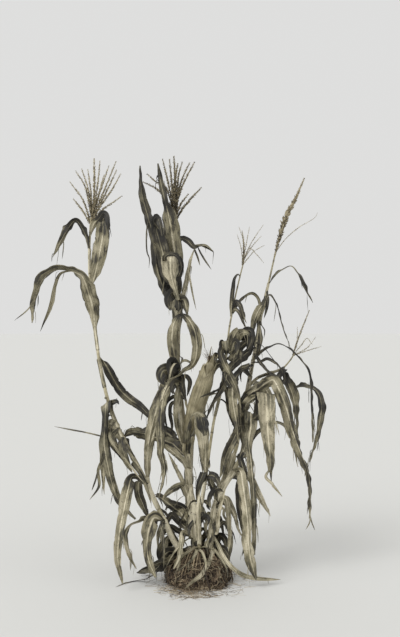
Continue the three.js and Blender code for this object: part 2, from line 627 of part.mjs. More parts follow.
// A thin blade: each cross-section is a shallow V, thickest at the midrib and sharp at its edges.
function blade(way, turns, width, midrib, taper) {
  const steps = Math.max(5, Math.ceil(lengthOf(way) / bladeStep));
  const frames = framesAlong(way, steps, turns);
  easeBends(frames, (share) => (width / 2) * bladeOutline(share, taper));
  const early = frames[Math.round(steps * 0.2)];
  const reach = frames[steps].point.clone().sub(frames[0].point).setZ(0).normalize();
  const upward = new THREE.Vector3(0, 0, 1).sub(reach);
  const side = early.up.dot(upward) < 0 ? -1 : 1;
  const rings = frames.map((frame) => {
    const half = (width / 2) * bladeOutline(frame.share, taper);
    const thick = (midrib / 2) * (1 - 0.5 * smooth(0.85, 1, frame.share));
    const lift = frame.up.clone().multiplyScalar(side);
    const edge = (reachOut) => frame.point.clone()
      .addScaledVector(frame.wide, half * reachOut)
      .addScaledVector(lift, half * bladeGutter);
    return [
      frame.point.clone().addScaledVector(lift, thick),
      edge(1),
      frame.point.clone().addScaledVector(lift, -thick),
      edge(-1),
    ];
  });
  return solidOf(loft(rings));
}

// The place on a stem at a height, as [across, height, depth], with the stem's share of length there.
function placeOnStem(stem, height) {
  const curve = curveThrough(bowed(stem.way, stem));
  let low = 0;
  let high = 1;
  for (let i = 0; i < 30; i += 1) {
    const middle = (low + high) / 2;
    if (curve.getPointAt(middle).y < height) low = middle;
    else high = middle;
  }
  const at = curve.getPointAt(low);
  return { at, along: curve.getTangentAt(low), share: low };
}

// The way of a leaf with its foot set beside the stem, on the side that the leaf goes to.
function leafWay(leaf) {
  const stem = stems[leaf.stem];
  const { at, along, share } = placeOnStem(stem, leaf.foot);
  const way = bowed(leaf.way, stem);
  const out = new THREE.Vector3(...way[0]).sub(at);
  out.addScaledVector(along, -out.dot(along)).normalize();
  const foot = at.clone().addScaledVector(out, leaf.small ? 0 : radiusAt(stem, share) - footOverlap);
  return [[foot.x, foot.y, foot.z], ...way];
}

function leafSolid(leaf) {
  const way = leafWay(leaf);
  const turns = [leaf.turn, ...leaf.way.map((point) => point[3])];
  const midrib = Math.max(thinnestMidrib, lengthOf(way) * leafThickness);
  const parts = [blade(way, turns, leaf.width, midrib, leaf.taper ?? 0.5)];
  for (const strand of leaf.strands ?? []) {
    const strandWay = bowed(strand.way, stems[leaf.stem]);
    parts.push(blade(strandWay, strand.way.map((point) => point[3]), strand.width, strandThickness, 0.5));
  }
  return wasm.Manifold.union(parts);
}

function stemSolid(stem, extra) {
  const steps = Math.ceil(lengthOf(stem.way) / 68);
  return rod(bowed(stem.way, stem), (share) => radiusAt(stem, share) + extra, 8, steps);
}

function tasselSolid(tassel) {
  const stem = stems[tassel.stem];
  const curve = curveThrough(bowed(stem.way, stem));
  const tip = curve.getPointAt(1).addScaledVector(curve.getTangentAt(1), clearance * 2);
  const spikeWay = [[tip.x, tip.y, tip.z], ...bowed(tassel.spike, stem)];
  const spike = curveThrough(spikeWay);
  const thinning = (radius) => (share) => radius * (1 - 0.55 * share);
  const parts = [rod(spikeWay, thinning(tassel.radius), 4, 7)];
  for (const [start, middle, end] of tassel.branches) {
    const from = spike.getPointAt(start);
    const branchWay = [[from.x, from.y, from.z], ...bowed([middle, end], stem)];
    parts.push(rod(branchWay, thinning(tassel.radius * 0.72), 3, 6));
  }
  return wasm.Manifold.union(parts);
}

// The ear in its husk: a spindle turned from a profile on a short shank, leaning out from the middle stem, with a
// tuft of silk.
function earSolid() {
  const foot = place([-46, 572, -56]);
  const tip = place([46, 893, -88]);
  const outline = [[0, 0], [0.24, 0], [0.42, 0.1], [0.66, 0.24], [0.95, 0.42], [1, 0.6], [0.94, 0.76], [0.7, 0.92], [0.4, 1], [0, 1]];
  const profile = outline.map(([r, along]) => new THREE.Vector2(r * earRadius, along * earLength));
  const husk = new THREE.LatheGeometry(profile, 12);
  const lean = new THREE.Quaternion().setFromUnitVectors(
    new THREE.Vector3(0, 1, 0),
    tip.clone().sub(foot).normalize(),
  );
  husk.applyQuaternion(lean).translate(foot.x, foot.y, foot.z);
  const silks = [[70, 926, -76], [92, 934, -100], [58, 944, -112], [30, 934, -86], [100, 912, -120]];
  const tuft = silks.map((end) => rod([[40, 872, -86], [46, 900, -90], end], (share) => 6 - 4.4 * share, 3, 4));
  const shank = rod([[-58, 516, -18], [-58, 538, -38], [-46, 584, -58]], () => 8, 8, 5);
  return wasm.Manifold.union([solidOf(husk), shank, ...tuft]);
}

// The root ball: a low dome with an uneven skin, brace roots down its sides and straps from the crown, cut flat.
function rootBallSolid() {
  const levels = 9;
  const profile = [new THREE.Vector2(0, 0)];
  for (let i = 0; i <= levels; i += 1) {
    const rise = (i / levels) * (Math.PI / 2);
    profile.push(new THREE.Vector2(rootBallRadius * Math.cos(rise) ** 0.8, rootBallHeight * Math.sin(rise)));
  }
  profile[profile.length - 1].x = 0;
  const dome = new THREE.LatheGeometry(profile, 20);
  dome.rotateX(Math.PI / 2);
  const skin = dome.getAttribute('position');
  for (let i = 0; i < skin.count; i += 1) {
    const [x, y, z] = [skin.getX(i), skin.getY(i), skin.getZ(i)];
    const lump = 1 + 0.05 * Math.sin(x / 19 + 1) * Math.cos(y / 23) + 0.035 * Math.sin((x - y) / 11 + z / 17);
    skin.setXYZ(i, x * lump, y * lump, z * (z > 1 ? lump : 1));
  }
  const parts = [solidOf(dome)];
  for (let i = 0; i < braceRoots; i += 1) {
    const bearing = (i / braceRoots) * Math.PI * 2 + 0.25 * Math.sin(i * 5);
    const reach = rootBallRadius * (1.04 + 0.1 * Math.sin(i * 3.7));
    const at = (out, height) => [Math.cos(bearing) * out * reach, height, Math.sin(bearing) * out * reach];
    const way = [at(0.3, 132), at(0.62, 108), at(0.88, 62), at(1, 6)];
    parts.push(rod(way, (share) => 6.5 - 3 * share, 4, 5));
  }
  for (const strap of crownStraps) {
    parts.push(blade(strap.way, strap.way.map(() => 60), strap.width, 5, 0.7));
  }
  const ground = new THREE.BoxGeometry(1200, 1200, 100).translate(0, 0, -50);
  return wasm.Manifold.union(parts).subtract(solidOf(ground));
}

// What is left of a solid once its neighbours' room is cut away: its largest piece.
function clearOf(solid, neighbours) {
  const cut = neighbours.reduce((left, other) => left.subtract(other), solid);
  const pieces = cut.decompose();
  return pieces.reduce((best, piece) => (piece.volume() > best.volume() ? piece : best), pieces[0]);
}

const plant = new THREE.Group();

function add(name, solid, finish) {
  const { vertProperties, triVerts, numProp } = solid.asOriginal().simplify(finestDetail).getMesh();
  const position = new THREE.BufferAttribute(new Float32Array(vertProperties), numProp);
  const geometry = new THREE.BufferGeometry()
    .setAttribute('position', position)
    .setIndex(new THREE.BufferAttribute(new Uint32Array(triVerts), 1));
  geometry.computeVertexNormals();
  const mesh = new THREE.Mesh(geometry, new THREE.MeshStandardMaterial(finish));
  mesh.name = name;
  plant.add(mesh);
}

const stemRoom = Object.fromEntries(Object.entries(stems).map(([name, stem]) => [name, stemSolid(stem, clearance)]));
const ear = earSolid();
add('root_ball', clearOf(rootBallSolid(), Object.values(stemRoom)), colours.rootBall);
for (const [name, stem] of Object.entries(stems)) {
  const others = Object.keys(stems).filter((other) => other !== name).map((other) => stemRoom[other]);
  const small = Object.values(leaves).filter((leaf) => leaf.small && leaf.stem === name);
  const parts = [stemSolid(stem, 0), ...small.map((leaf) => clearOf(leafSolid(leaf), others))];
  add(`${name}_stem`, wasm.Manifold.union(parts), colours.stem);
}
for (const [name, leaf] of Object.entries(leaves)) {
  if (!leaf.small) add(name, clearOf(leafSolid(leaf), Object.values(stemRoom)), colours.leaf);
}
for (const [name, tassel] of Object.entries(tassels)) {
  add(name, clearOf(tasselSolid(tassel), Object.values(stemRoom)), colours.tassel);
}
add('ear', clearOf(ear, Object.values(stemRoom)), colours.husk);

export default plant;
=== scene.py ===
import math
import random

import bmesh
import bpy
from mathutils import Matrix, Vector, noise


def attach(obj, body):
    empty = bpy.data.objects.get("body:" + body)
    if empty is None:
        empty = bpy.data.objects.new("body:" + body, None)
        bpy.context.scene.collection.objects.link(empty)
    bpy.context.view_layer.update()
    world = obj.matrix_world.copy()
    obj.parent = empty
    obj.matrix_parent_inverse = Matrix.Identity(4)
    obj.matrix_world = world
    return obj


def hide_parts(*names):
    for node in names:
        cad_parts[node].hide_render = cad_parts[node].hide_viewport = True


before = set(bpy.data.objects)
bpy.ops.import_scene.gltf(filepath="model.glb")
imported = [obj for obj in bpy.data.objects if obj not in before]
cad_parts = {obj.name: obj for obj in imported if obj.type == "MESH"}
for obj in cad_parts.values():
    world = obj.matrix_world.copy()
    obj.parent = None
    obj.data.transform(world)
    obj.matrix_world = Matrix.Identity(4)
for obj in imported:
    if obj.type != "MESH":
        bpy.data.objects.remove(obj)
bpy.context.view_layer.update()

mm = 0.001
fullTurn = 6.28
camera = {"distance": 3.6, "height": 1.066, "lens": 50, "sensor": 36}
print("frame loaded")


# small helpers
def smooth(low, high, value):
    x = min(max((value - low) / (high - low), 0), 1)
    return x * x * (3 - 2 * x)


def mixed(a, b, amount):
    return a + (b - a) * amount


def along(values, share):
    # reads a list of values spread evenly from 0 to 1
    if not isinstance(values, (list, tuple)):
        return values
    spot = min(max(share, 0), 1) * (len(values) - 1)
    i = min(int(spot), len(values) - 2)
    return mixed(values[i], values[i + 1], smooth(0, 1, spot - i))


def linear(hexColour):
    parts = [int(hexColour[i:i + 2], 16) / 255 for i in (1, 3, 5)]
    return [c / 12.92 if c <= 0.04045 else ((c + 0.055) / 1.055) ** 2.4 for c in parts] + [1]


def addNode(tree, kind, settings=(), links=()):
    node = tree.nodes.new("ShaderNode" + kind)
    for name, value in dict(settings).items():
        if name == "stops":
            ramp = node.color_ramp.elements
            while len(ramp) < len(value):
                ramp.new(0.5)
            for stop, (spot, colour) in zip(ramp, value):
                stop.position, stop.color = spot, linear(colour)
        elif isinstance(name, str) and hasattr(node, name):
            setattr(node, name, value)
        else:
            node.inputs[name].default_value = value
    for name, source in dict(links).items():
        tree.links.new(source, node.inputs[name])
    return node


# A point is across, height and depth in millimetres. Across and height are its true sizes on the upright
# plane through the root ball's centre, and it is carried along its line of sight to its depth behind that.
def place(point):
    across, height, depth = (value * mm for value in point[:3])
    farther = 1 + depth / camera["distance"]
    return Vector((across * farther, depth, camera["height"] + (height - camera["height"]) * farther))


def bowed(way, bow):
    return [Vector((p[0], p[1], p[2] + bow * (p[1] / 1000) ** 2)) for p in way]


def curvePoint(knots, t):
    # a centripetal spline through the knots
    last = len(knots) - 1
    spot = min(max(t, 0), 1) * last
    i = min(int(spot), last - 1)
    w = spot - i
    b, c = knots[i], knots[i + 1]
    a = knots[i - 1] if i > 0 else b * 2 - c
    d = knots[i + 2] if i + 2 <= last else c * 2 - b
    ab, bc, cd = ((q - p).length ** 0.5 for p, q in ((a, b), (b, c), (c, d)))
    m1 = ((b - a) / ab - (c - a) / (ab + bc) + (c - b) / bc) * bc
    m2 = ((c - b) / bc - (d - b) / (bc + cd) + (d - c) / cd) * bc
    return b + m1 * w + (c * 3 - b * 3 - m1 * 2 - m2) * w ** 2 + (b * 2 - c * 2 + m1 + m2) * w ** 3


def evenSpots(knots, steps):
    parts = 160
    line = [curvePoint(knots, i / parts) for i in range(parts + 1)]
    run = [0]
    for p, q in zip(line, line[1:]):
        run.append(run[-1] + (q - p).length)
    spots, j = [], 0
    for i in range(steps + 1):
        goal = run[-1] * i / steps
        while j < parts - 1 and run[j + 1] < goal:
            j += 1
        spots.append((j + (goal - run[j]) / max(run[j + 1] - run[j], 1e-9)) / parts)
    return spots


def framesAlong(knots, steps, turns=None, toWorld=place):
    # edge is carried along and kept near the line of sight where it can be; turns are in degrees from there
    spots = evenSpots(knots, steps)
    frames = [{"t": t, "share": i / steps, "point": toWorld(curvePoint(knots, t))}
              for i, t in enumerate(spots)]
    sight = Vector((0, 1, 0))
    edge, run = sight, 0
    for i, row in enumerate(frames):
        before, after = frames[max(i - 1, 0)]["point"], frames[min(i + 1, steps)]["point"]
        way = (after - before).normalized()
        edge = (edge - way * edge.dot(way)).normalized()
        seen = sight - way * sight.dot(way)
        hold = 0.35 * smooth(0.2, 0.6, seen.length)
        edge = edge.lerp(seen.normalized() * (-1 if seen.dot(edge) < 0 else 1), hold).normalized()
        face = way.cross(edge)
        turn = math.radians(along(turns, row["t"])) if turns else 0
        wide = face * math.cos(turn) + edge * math.sin(turn)
        run += (row["point"] - frames[max(i - 1, 0)]["point"]).length
        row.update(way=way, edge=edge, face=face, wide=wide, up=way.cross(wide), run=run)
    return frames


def addObject(name, data):
    item = bpy.data.objects.new(name, data)
    bpy.context.scene.collection.objects.link(item)
    return item


def newPiece(name, mesh, materials, nodes):
    data = bpy.data.meshes.new(name)
    mesh.to_mesh(data)
    mesh.free()
    piece = addObject(name, data)
    for material in materials:
        data.materials.append(material)
    for face in data.polygons:
        face.use_smooth = True
    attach(piece, "root")
    if nodes:
        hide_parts(*nodes)
    return piece


def newMesh():
    mesh = bmesh.new()
    grain = mesh.verts.layers.float_vector.new("grain")  # x and y across the fibres, z along them, in metres
    # the red of this attribute is a tone; on leaves, soil and tassels it holds painted shade and light as
    # well as their own colour
    finish = mesh.verts.layers.float_color.new("finish")  # tone, edge, share of the length, pick
    return mesh, grain, finish


def joinTo(whole, part):
    # small meshes are made one by one and then joined, which keeps the operators quick
    data = bpy.data.meshes.new("part")
    part.to_mesh(data)
    part.free()
    whole.from_mesh(data)
    bpy.data.meshes.remove(data)


def gridSpot(vert, rows):
    # a grid vertex's row and its share of the way, both counted from the foot
    share = (vert.co.y + 1) / 2
    return min(max(round(share * rows), 0), rows), share


def keepAbove(mesh, height):
    for vert in mesh.verts:
        vert.co.z = max(vert.co.z, height)


def thicken(piece, thickness):
    shell = piece.modifiers.new("thickness", "SOLIDIFY")
    shell.thickness, shell.offset = thickness, 0
    shell.material_offset = 1 if len(piece.data.materials) > 1 else 0


def levelWay(bearing):
    return Vector((math.cos(bearing), math.sin(bearing), 0))


def randomVector(draw, low, high):
    return Vector([draw.uniform(low, high) for _ in range(3)])


def tapered(size, loss):
    # a size that has lost this share of itself at the tip
    return lambda share: size * (1 - loss * share)


# stems
stems = {
    "left": {
        "radii": [11, 7.5, 4.4], "bow": 70, "tone": [0.65, 0.62, 0.6],
        "way": [
            [-30, 70, -12], [-90, 134, -25], [-160, 273, -40], [-236, 431, -52], [-293, 537, -60],
            [-330, 611, -60], [-366, 704, -58], [-403, 855, -50], [-427, 1018, -40], [-446, 1180, -30],
            [-450, 1343, -20], [-444, 1473, -10],
        ],
    },
    "middle": {
        "radii": [18.5, 10, 4.2], "bow": -20, "tone": [0.85, 0.85, 0.6, 0.55],
        "way": [
            [-5, 70, 5], [-20, 183, 2], [-37, 326, -5], [-49, 476, -10], [-65, 611, -10], [-81, 753, -5],
            [-90, 916, 0], [-90, 1058, 0], [-98, 1180, -5], [-108, 1323, -8], [-106, 1425, -10],
            [-98, 1481, -10],
        ],
    },
    "right": {
        "radii": [13, 8.5, 3.2], "bow": 45, "tone": [0.45, 0.68, 0.5],
        "way": [
            [35, 70, -18], [45, 163, -25], [57, 293, -40], [90, 370, -42], [147, 464, -30], [175, 529, -20],
            [183, 631, 0], [187, 733, 10], [204, 834, 10], [224, 936, 12], [240, 1038, 20], [265, 1148, 30],
            [289, 1254, 40], [309, 1343, 50],
        ],
    },
    "slim": {
        "radii": [8.5, 5.5, 2.6], "bow": -30, "tone": [0.4, 0.62, 0.5],
        "way": [
            [-2, 70, -42], [-2, 183, -48], [4, 293, -50], [24, 427, -50], [41, 549, -40], [57, 651, -30],
            [81, 753, -20], [98, 855, -20], [110, 944, -10], [118, 1018, 0], [134, 1107, 10], [155, 1205, 20],
            [179, 1302, 30],
        ],
    },
    "leaning": {
        "radii": [12, 8, 2.8], "bow": 30, "tone": [0.4, 0.55, 0.5],
        "way": [
            [38, 70, 34], [53, 183, 42], [69, 293, 52], [90, 391, 52], [122, 476, 45], [147, 537, 45],
            [163, 631, 52], [175, 712, 60], [195, 781, 60], [232, 822, 50], [281, 842, 30], [334, 862, 10],
            [366, 895, 0], [387, 928, -10],
        ],
    },
    "short": {
        "radii": [10, 8, 5.5], "bow": 0, "tone": [0.4, 0.55, 0.5],
        "way": [[-45, 70, 30], [-85, 142, 40], [-134, 236, 45], [-179, 313, 40], [-210, 399, 30],
            [-216, 470, 20]],
    },
    "rear": {
        "radii": [11, 8, 5], "bow": 0, "tone": [0.4, 0.6, 0.5],
        "way": [[0, 70, 58], [-25, 200, 95], [-42, 350, 135], [-38, 500, 170], [-20, 620, 200],
            [10, 725, 235]],
    },
}
stalk = {
    "rowStep": 5 * mm, "sides": 14,
    "core": 0.94,  # the stalk's own share of the stem's radius, under its sheaths
    "firstJoint": 60, "joint": 128, "joints": 12, "bulge": 0.16, "jointLength": 4 * mm,
}


def stemRadius(stem, share):
    foot, middle, tip = stem["radii"]
    return (mixed(foot, middle, share * 2) if share < 0.5 else mixed(middle, tip, share * 2 - 1)) * mm


def stemShare(stem, height):
    # the share of a stem's length at a height
    heights = [p.y for p in stem["line"]]
    low, high = 0, 1
    for _ in range(24):
        middle = (low + high) / 2
        if along(heights, middle) < height:
            low = middle
        else:
            high = middle
    return low


for stem in stems.values():
    knots = bowed(stem["way"], stem["bow"])
    stem["line"] = [curvePoint(knots, t) for t in evenSpots(knots, 240)]


def onStem(stem, height):
    # the stem's centre, direction and radius at a height, in the world, and the centre before it is placed
    share = stemShare(stem, height)
    line = stem["line"]
    spot = share * (len(line) - 1)
    i = min(int(spot), len(line) - 2)
    at = line[i].lerp(line[i + 1], spot - i)
    way = (place(line[i + 1]) - place(line[i])).normalized()
    return place(at), way, stemRadius(stem, share), at


def addTube(whole, frames, radius, sides, tone, joints=(), pick=0.5):
    # a closed tube; radius and tone are read by share
    mesh, grain, finish = newMesh()
    rows = len(frames) - 1
    for vert in bmesh.ops.create_grid(mesh, x_segments=sides, y_segments=rows, size=1)["verts"]:
        angle = (vert.co.x + 1) * math.pi
        number = gridSpot(vert, rows)[0]
        end = 0 if number in (0, rows) else 1
        # the rows beside the ends lie on them, so that the ends are flat
        row = frames[0 if number == 1 else rows if number == rows - 1 else number]
        r = radius(row["share"])
        near = max([0] + [math.exp(-((row["run"] - spot) / stalk["jointLength"]) ** 2) for spot in joints])
        outward = row["face"] * math.cos(angle) + row["edge"] * math.sin(angle)
        vert[grain] = (r * math.cos(angle) + pick, r * math.sin(angle), row["run"])
        vert[finish] = (tone(row["share"]), near, row["share"], pick)
        vert.co = row["point"] + outward * r * (1 + stalk["bulge"] * near) * end
    bmesh.ops.remove_doubles(mesh, verts=mesh.verts[:], dist=1e-6)
    bmesh.ops.recalc_face_normals(mesh, faces=mesh.faces[:])
    joinTo(whole, mesh)


# leaves
# foot is the height at which a leaf leaves its stem, and turn how far it is turned there from facing the
# camera. Each point is across, height, depth, turn. tone runs from foot to tip, 0 dark and 1 pale; besides
# the leaf's own colour it holds painted shade where a leaf lay in shadow and painted light where it was lit.
# Strands are strips torn from the leaf, each as its width and way. The rest is as in blade, below.
leaves = {
    "left_flag_leaf": {"stem": "left", "foot": 1196, "width": 62, "turn": 30, "taper": 0.6,
        "tone": [0.5, 0.55, 0.5, 0.5, 0.42, 0.18, 0.05],
        "outline": [0.12, 0.42, 0.75, 0.93, 1, 1, 0.98, 0.92, 0.72, 0.28, 0.2], "roll": 12, "fold": 10,
        "way": [[-424, 1262, -40, 0], [-407, 1343, -48, 0], [-397, 1404, -50, 0], [-394, 1456, -45, 0],
            [-392, 1480, -22, 0], [-386, 1450, 8, 0]]},
    "left_hook_leaf": {"stem": "left", "foot": 1352, "width": 33, "turn": 50,
        "tone": [0.12, 0.08, 0.3, 0.32, 0.38], "roll": 30, "way": [[-474, 1424, -35, 50],
            [-505, 1465, -48, 52], [-543, 1422, -62, 36], [-600, 1315, -80, 30]]},
    "left_long_leaf": {"stem": "left", "foot": 1030, "width": 58, "turn": 10, "tone": [0.56, 0.52, 0.4, 0.44],
        "way": [[-436, 1104, -75, 10], [-457, 1180, -110, 25], [-480, 1237, -135, 50], [-537, 1261, -150, 74],
            [-594, 1261, -160, 70], [-640, 1223, -165, 60], [-672, 1150, -165, 58], [-682, 1048, -160, 55]],
        "strands": [[17, [[-525, 1260, -148, 70], [-566, 1250, -160, 55], [-592, 1200, -172, 45],
            [-607, 1127, -176, 40], [-650, 1013, -178, 40]]], [5, [[-664, 1165, -165, 20],
            [-696, 1108, -168, 20], [-755, 1058, -170, 20]]]]},
    "slanting_leaf": {"stem": "left", "foot": 908, "width": 39, "turn": 20,
        "tone": [0.3, 0.12, 0.35, 0.15, 0.3], "way": [[-383, 876, -34, 20], [-354, 822, -14, 10],
            [-326, 778, 2, 0], [-285, 737, 14, 0], [-244, 708, 16, 0], [-212, 676, 8, 0],
            [-171, 619, 0, 10]]},
    "left_torn_leaf": {"stem": "left", "foot": 690, "width": 47, "turn": 0, "taper": 0.75,
        "tone": [0.35, 0.45, 0.12, 0.4, 0.45, 0.35, 0.5, 0.4, 0.45, 0.4], "crumple": 3 * mm,
        "outline": [0.9, 0.95, 0.55, 0.6, 0.92, 0.95, 0.75, 0.7, 0.6, 0.4, 0.2], "roll": 30, "crease": 30,
        "way": [[-380, 724, -88, 0], [-384, 698, -108, 0], [-386, 639, -116, 0], [-389, 549, -120, 0],
            [-374, 464, -116, 10], [-354, 383, -110, 0], [-326, 317, -104, 10], [-262, 250, -108, 20]],
        "strands": [[13, [[-391, 549, -120, 20], [-397, 500, -122, 20], [-415, 448, -122, 20],
            [-411, 385, -122, 20], [-449, 328, -122, 20]]], [9, [[-413, 452, -122, 20], [-423, 410, -130, 20],
            [-440, 366, -134, 20]]], [7, [[-385, 583, -119, 20], [-468, 602, -112, 20], [-545, 617, -105, 20],
            [-594, 627, -100, 20]]]]},
    "left_down_leaf": {"stem": "left", "foot": 585, "width": 30, "turn": 10, "tone": [0.29, 0.36],
        "way": [[-320, 560, -92, 10], [-311, 519, -98, 10], [-293, 470, -98, 15], [-276, 440, -94, 10]]},
    "left_floor_leaf": {"stem": "left", "foot": 396, "width": 46, "turn": 30, "taper": 0.75,
        "tone": [0.3, 0.1, 0.5, 0.55, 0.45, 0.6, 0.6, 0.65],
        "outline": [0.6, 0.6, 0.95, 1, 0.98, 0.8, 0.72, 0.72, 0.6, 0.4, 0.15], "twist": 4, "bendRoom": 3,
        "roll": 20, "crease": 25, "way": [[-252, 419, -84, 30], [-277, 421, -108, 20], [-291, 379, -134, 0],
            [-305, 317, -150, 0], [-319, 244, -160, 0], [-332, 163, -164, 0], [-334, 81, -166, 0],
            [-315, -12, -168, 10]]},
    "left_thin_leaf": {"stem": "left", "foot": 264, "width": 27, "turn": 60, "tone": [0.44, 0.52, 0.6],
        "way": [[-187, 256, -62, 60], [-236, 242, -78, 62], [-281, 226, -90, 60], [-302, 190, -96, 45],
            [-297, 142, -98, 45], [-281, 94, -98, 50], [-260, 47, -98, 50]]},
    "left_ragged_leaf": {"stem": "left", "foot": 250, "width": 62, "turn": 0, "taper": 0.8,
        "tone": [0.35, 0.5, 0.4, 0.55, 0.45, 0.5], "outline": [0.5, 0.9, 1, 0.95, 0.6, 0.5, 0.5, 0.4, 0.15],
        "crumple": 4 * mm, "roll": 25, "fold": 8, "twist": 4, "bendRoom": 3,
        "way": [[-187, 254, -75, 0], [-208, 204, -104, 0], [-216, 142, -116, 0], [-208, 81, -120, 10],
            [-180, 12, -122, 20]]},
    "broad_left_leaf": {"stem": "short", "foot": 425, "width": 56, "turn": 0, "taper": 0.7,
        "tone": [0.65, 0.6, 0.45, 0.55, 0.4, 0.5, 0.08, 0.3],
        "outline": [0.5, 0.5, 0.6, 0.8, 0.95, 1, 0.95, 0.8, 0.6], "crumple": 3 * mm,
        "way": [[-214, 497, -26, 0], [-204, 590, -34, 0], [-179, 684, -34, 0], [-147, 761, -26, 0],
            [-124, 830, -28, 0], [-116, 872, -50, 0], [-126, 862, -82, 0], [-143, 808, -98, 0]]},
    "hanging_left_leaf": {"stem": "middle", "foot": 775, "width": 34, "turn": 20, "tone": [0.36, 0.36, 0.52],
        "way": [[-106, 806, -74, 20], [-142, 758, -122, 10], [-158, 684, -138, 0], [-159, 602, -144, 10],
            [-156, 521, -142, 45], [-144, 448, -138, 25], [-155, 379, -134, 20], [-171, 330, -130, 20]]},
    "low_cross_leaf": {"stem": "middle", "foot": 512, "width": 58, "turn": 20, "roll": 30, "twist": 14,
        "crumple": 8 * mm, "tone": [0.25, 0.1, 0.3, 0.35, 0.4, 0.15],
        "outline": [0.6, 0.8, 1, 0.85, 0.66, 0.8, 1, 0.85, 0.5, 0.1], "tears": 40, "tearDepth": 0.7,
        "way": [[-114, 556, 20, 10], [-171, 578, 30, 0], [-232, 598, 34, 0], [-285, 604, 36, 0],
            [-312, 580, 36, 0]]},
    "low_dark_leaf": {"stem": "middle", "foot": 196, "width": 40, "turn": 20,
        "tone": [0.75, 0.2, 0.5, 0.12, 0.45, 0.2], "outline": [0.5, 0.9, 1, 0.85, 1, 0.9, 0.6, 0.5],
        "crumple": 7 * mm, "crumpleSize": 16 * mm, "roll": 40,
        "way": [[-50, 236, 6, 20], [-80, 276, 0, 10], [-122, 309, -4, 0], [-158, 334, -8, 10],
            [-180, 342, -12, 30]]},
    "crown_left_leaf": {"stem": "middle", "foot": 1112, "width": 50, "turn": 20,
        "tone": [0.1, 0.04, 0.3, 0.06, 0.25, 0.08, 0.24, 0.14, 0.15],
        "outline": [0.5, 0.8, 0.9, 0.75, 0.95, 0.85, 0.82, 0.72, 0.6, 0.32, 0.1], "crumple": 5 * mm,
        "roll": 25, "way": [[-132, 1164, -2, 20], [-159, 1217, -18, 25], [-175, 1270, -42, 10],
            [-183, 1343, -46, 15], [-195, 1416, -46, 35], [-212, 1481, -40, 10], [-232, 1555, -35, 0],
            [-242, 1620, -30, 10], [-244, 1688, -30, 0]], "strands": [[6, [[-212, 1460, -44, 20],
            [-218, 1404, -56, 20], [-215, 1335, -60, 20], [-206, 1310, -60, 20], [-208, 1270, -60, 20]]]]},
    "crown_flag_leaf": {"stem": "middle", "foot": 1226, "width": 66, "turn": 0,
        "tone": [0.25, 0.45, 0.42, 0.5, 0.4, 0.42, 0.12, 0.3, 0.28, 0.25],
        "outline": [0.5, 0.85, 1, 1, 0.98, 0.9, 0.5, 0.4, 0.28, 0.1], "crumple": 3 * mm, "roll": 20,
        "crease": 25, "twist": 5, "way": [[-100, 1290, -40, 0], [-110, 1372, -44, 0], [-122, 1457, -44, 10],
            [-138, 1530, -38, 30], [-157, 1608, -32, 10], [-171, 1697, -26, 0]]},
    "crown_apron_leaf": {"stem": "middle", "foot": 1156, "width": 72, "turn": 0,
        "tone": [0.2, 0.1, 0.02, 0.25, 0.6, 0.66, 0.62, 0.6], "bendRoom": 3,
        "outline": [0.5, 0.65, 0.7, 0.7, 0.75, 0.97, 1, 0.88, 0.4, 0.24, 0.18], "roll": 10, "fold": 8,
        "way": [[-100, 1221, -72, 0], [-113, 1286, -98, 0], [-118, 1322, -124, 0], [-121, 1292, -150, 0],
            [-118, 1242, -160, 0], [-102, 1184, -162, 0], [-88, 1140, -162, 0]]},
    "crown_second_leaf": {"stem": "middle", "foot": 1186, "width": 56, "turn": 0,
        "tone": [0.12, 0.25, 0.2, 0.3, 0.1, 0.03, 0.1], "crumple": 5 * mm, "roll": 30,
        "outline": [0.5, 0.8, 0.95, 1, 1, 0.8, 0.45, 0.4, 0.1], "bendRoom": 3,
        "way": [[-135, 1254, -66, 0], [-152, 1335, -84, 0], [-171, 1404, -90, 0], [-182, 1457, -96, 0],
            [-176, 1482, -112, 0], [-163, 1449, -132, 0], [-154, 1400, -138, 0]]},
    "crown_right_leaf": {"stem": "middle", "foot": 1372, "width": 28, "turn": 30,
        "tone": [0.02, 0.04, 0.1, 0.3, 0.35], "way": [[-77, 1392, 8, 20], [-50, 1382, 8, 20],
            [-24, 1357, 2, 40], [0, 1363, -3, 65], [26, 1362, -8, 62], [54, 1338, -10, 55]],
        "strands": [[9, [[-10, 1361, 0, 40], [12, 1319, -14, 40], [46, 1265, -18, 40]]],
            [9, [[-26, 1358, 2, 40], [-8, 1315, 2, 40], [0, 1281, 2, 40]]], [11, [[-24, 1365, -3, 60],
            [0, 1364, -6, 50], [33, 1349, -8, 40], [55, 1335, -8, 40]]]]},
    "crown_pale_leaf": {"stem": "middle", "foot": 1083, "width": 20, "turn": 20, "tone": [0.52, 0.68, 0.6],
        "way": [[-76, 1140, -24, 20], [-58, 1209, -34, 20], [-46, 1278, -40, 25], [-33, 1327, -38, 30],
            [-18, 1354, -30, 40]], "strands": [[8, [[-47, 1272, -40, 30], [-40, 1229, -50, 30],
            [-28, 1160, -60, 30], [-15, 1100, -62, 30]]]]},
    "loop_leaf": {"stem": "middle", "foot": 856, "width": 42, "turn": 0, "taper": 0.65,
        "tone": [0.45, 0.5, 0.4, 0.55, 0.1, 0.45, 0.5, 0.4, 0.5, 0.5, 0.6],
        "outline": [0.6, 0.95, 1, 1, 0.8, 0.9, 1, 1, 0.85, 0.6, 0.45, 0.3],
        "way": [[-104, 916, -34, 0], [-114, 985, -48, 0], [-106, 1046, -58, 30], [-77, 1082, -66, 74],
            [-45, 1060, -70, 40], [-20, 1009, -70, 10], [-12, 944, -66, 10], [-24, 887, -64, 30],
            [-65, 847, -74, 50], [-132, 808, -86, 50]]},
    "funnel_leaf": {"stem": "slim", "foot": 436, "width": 56, "turn": 0, "roll": 25, "fold": 22,
        "bendRoom": 3,
        "twist": 6, "tone": [0.5, 0.55, 0.65, 0.65, 0.6, 0.6, 0.22, 0.3], "tears": 40, "crumple": 3 * mm,
        "outline": [0.3, 0.35, 0.5, 0.78, 0.92, 0.85, 0.8, 0.9, 0.3],
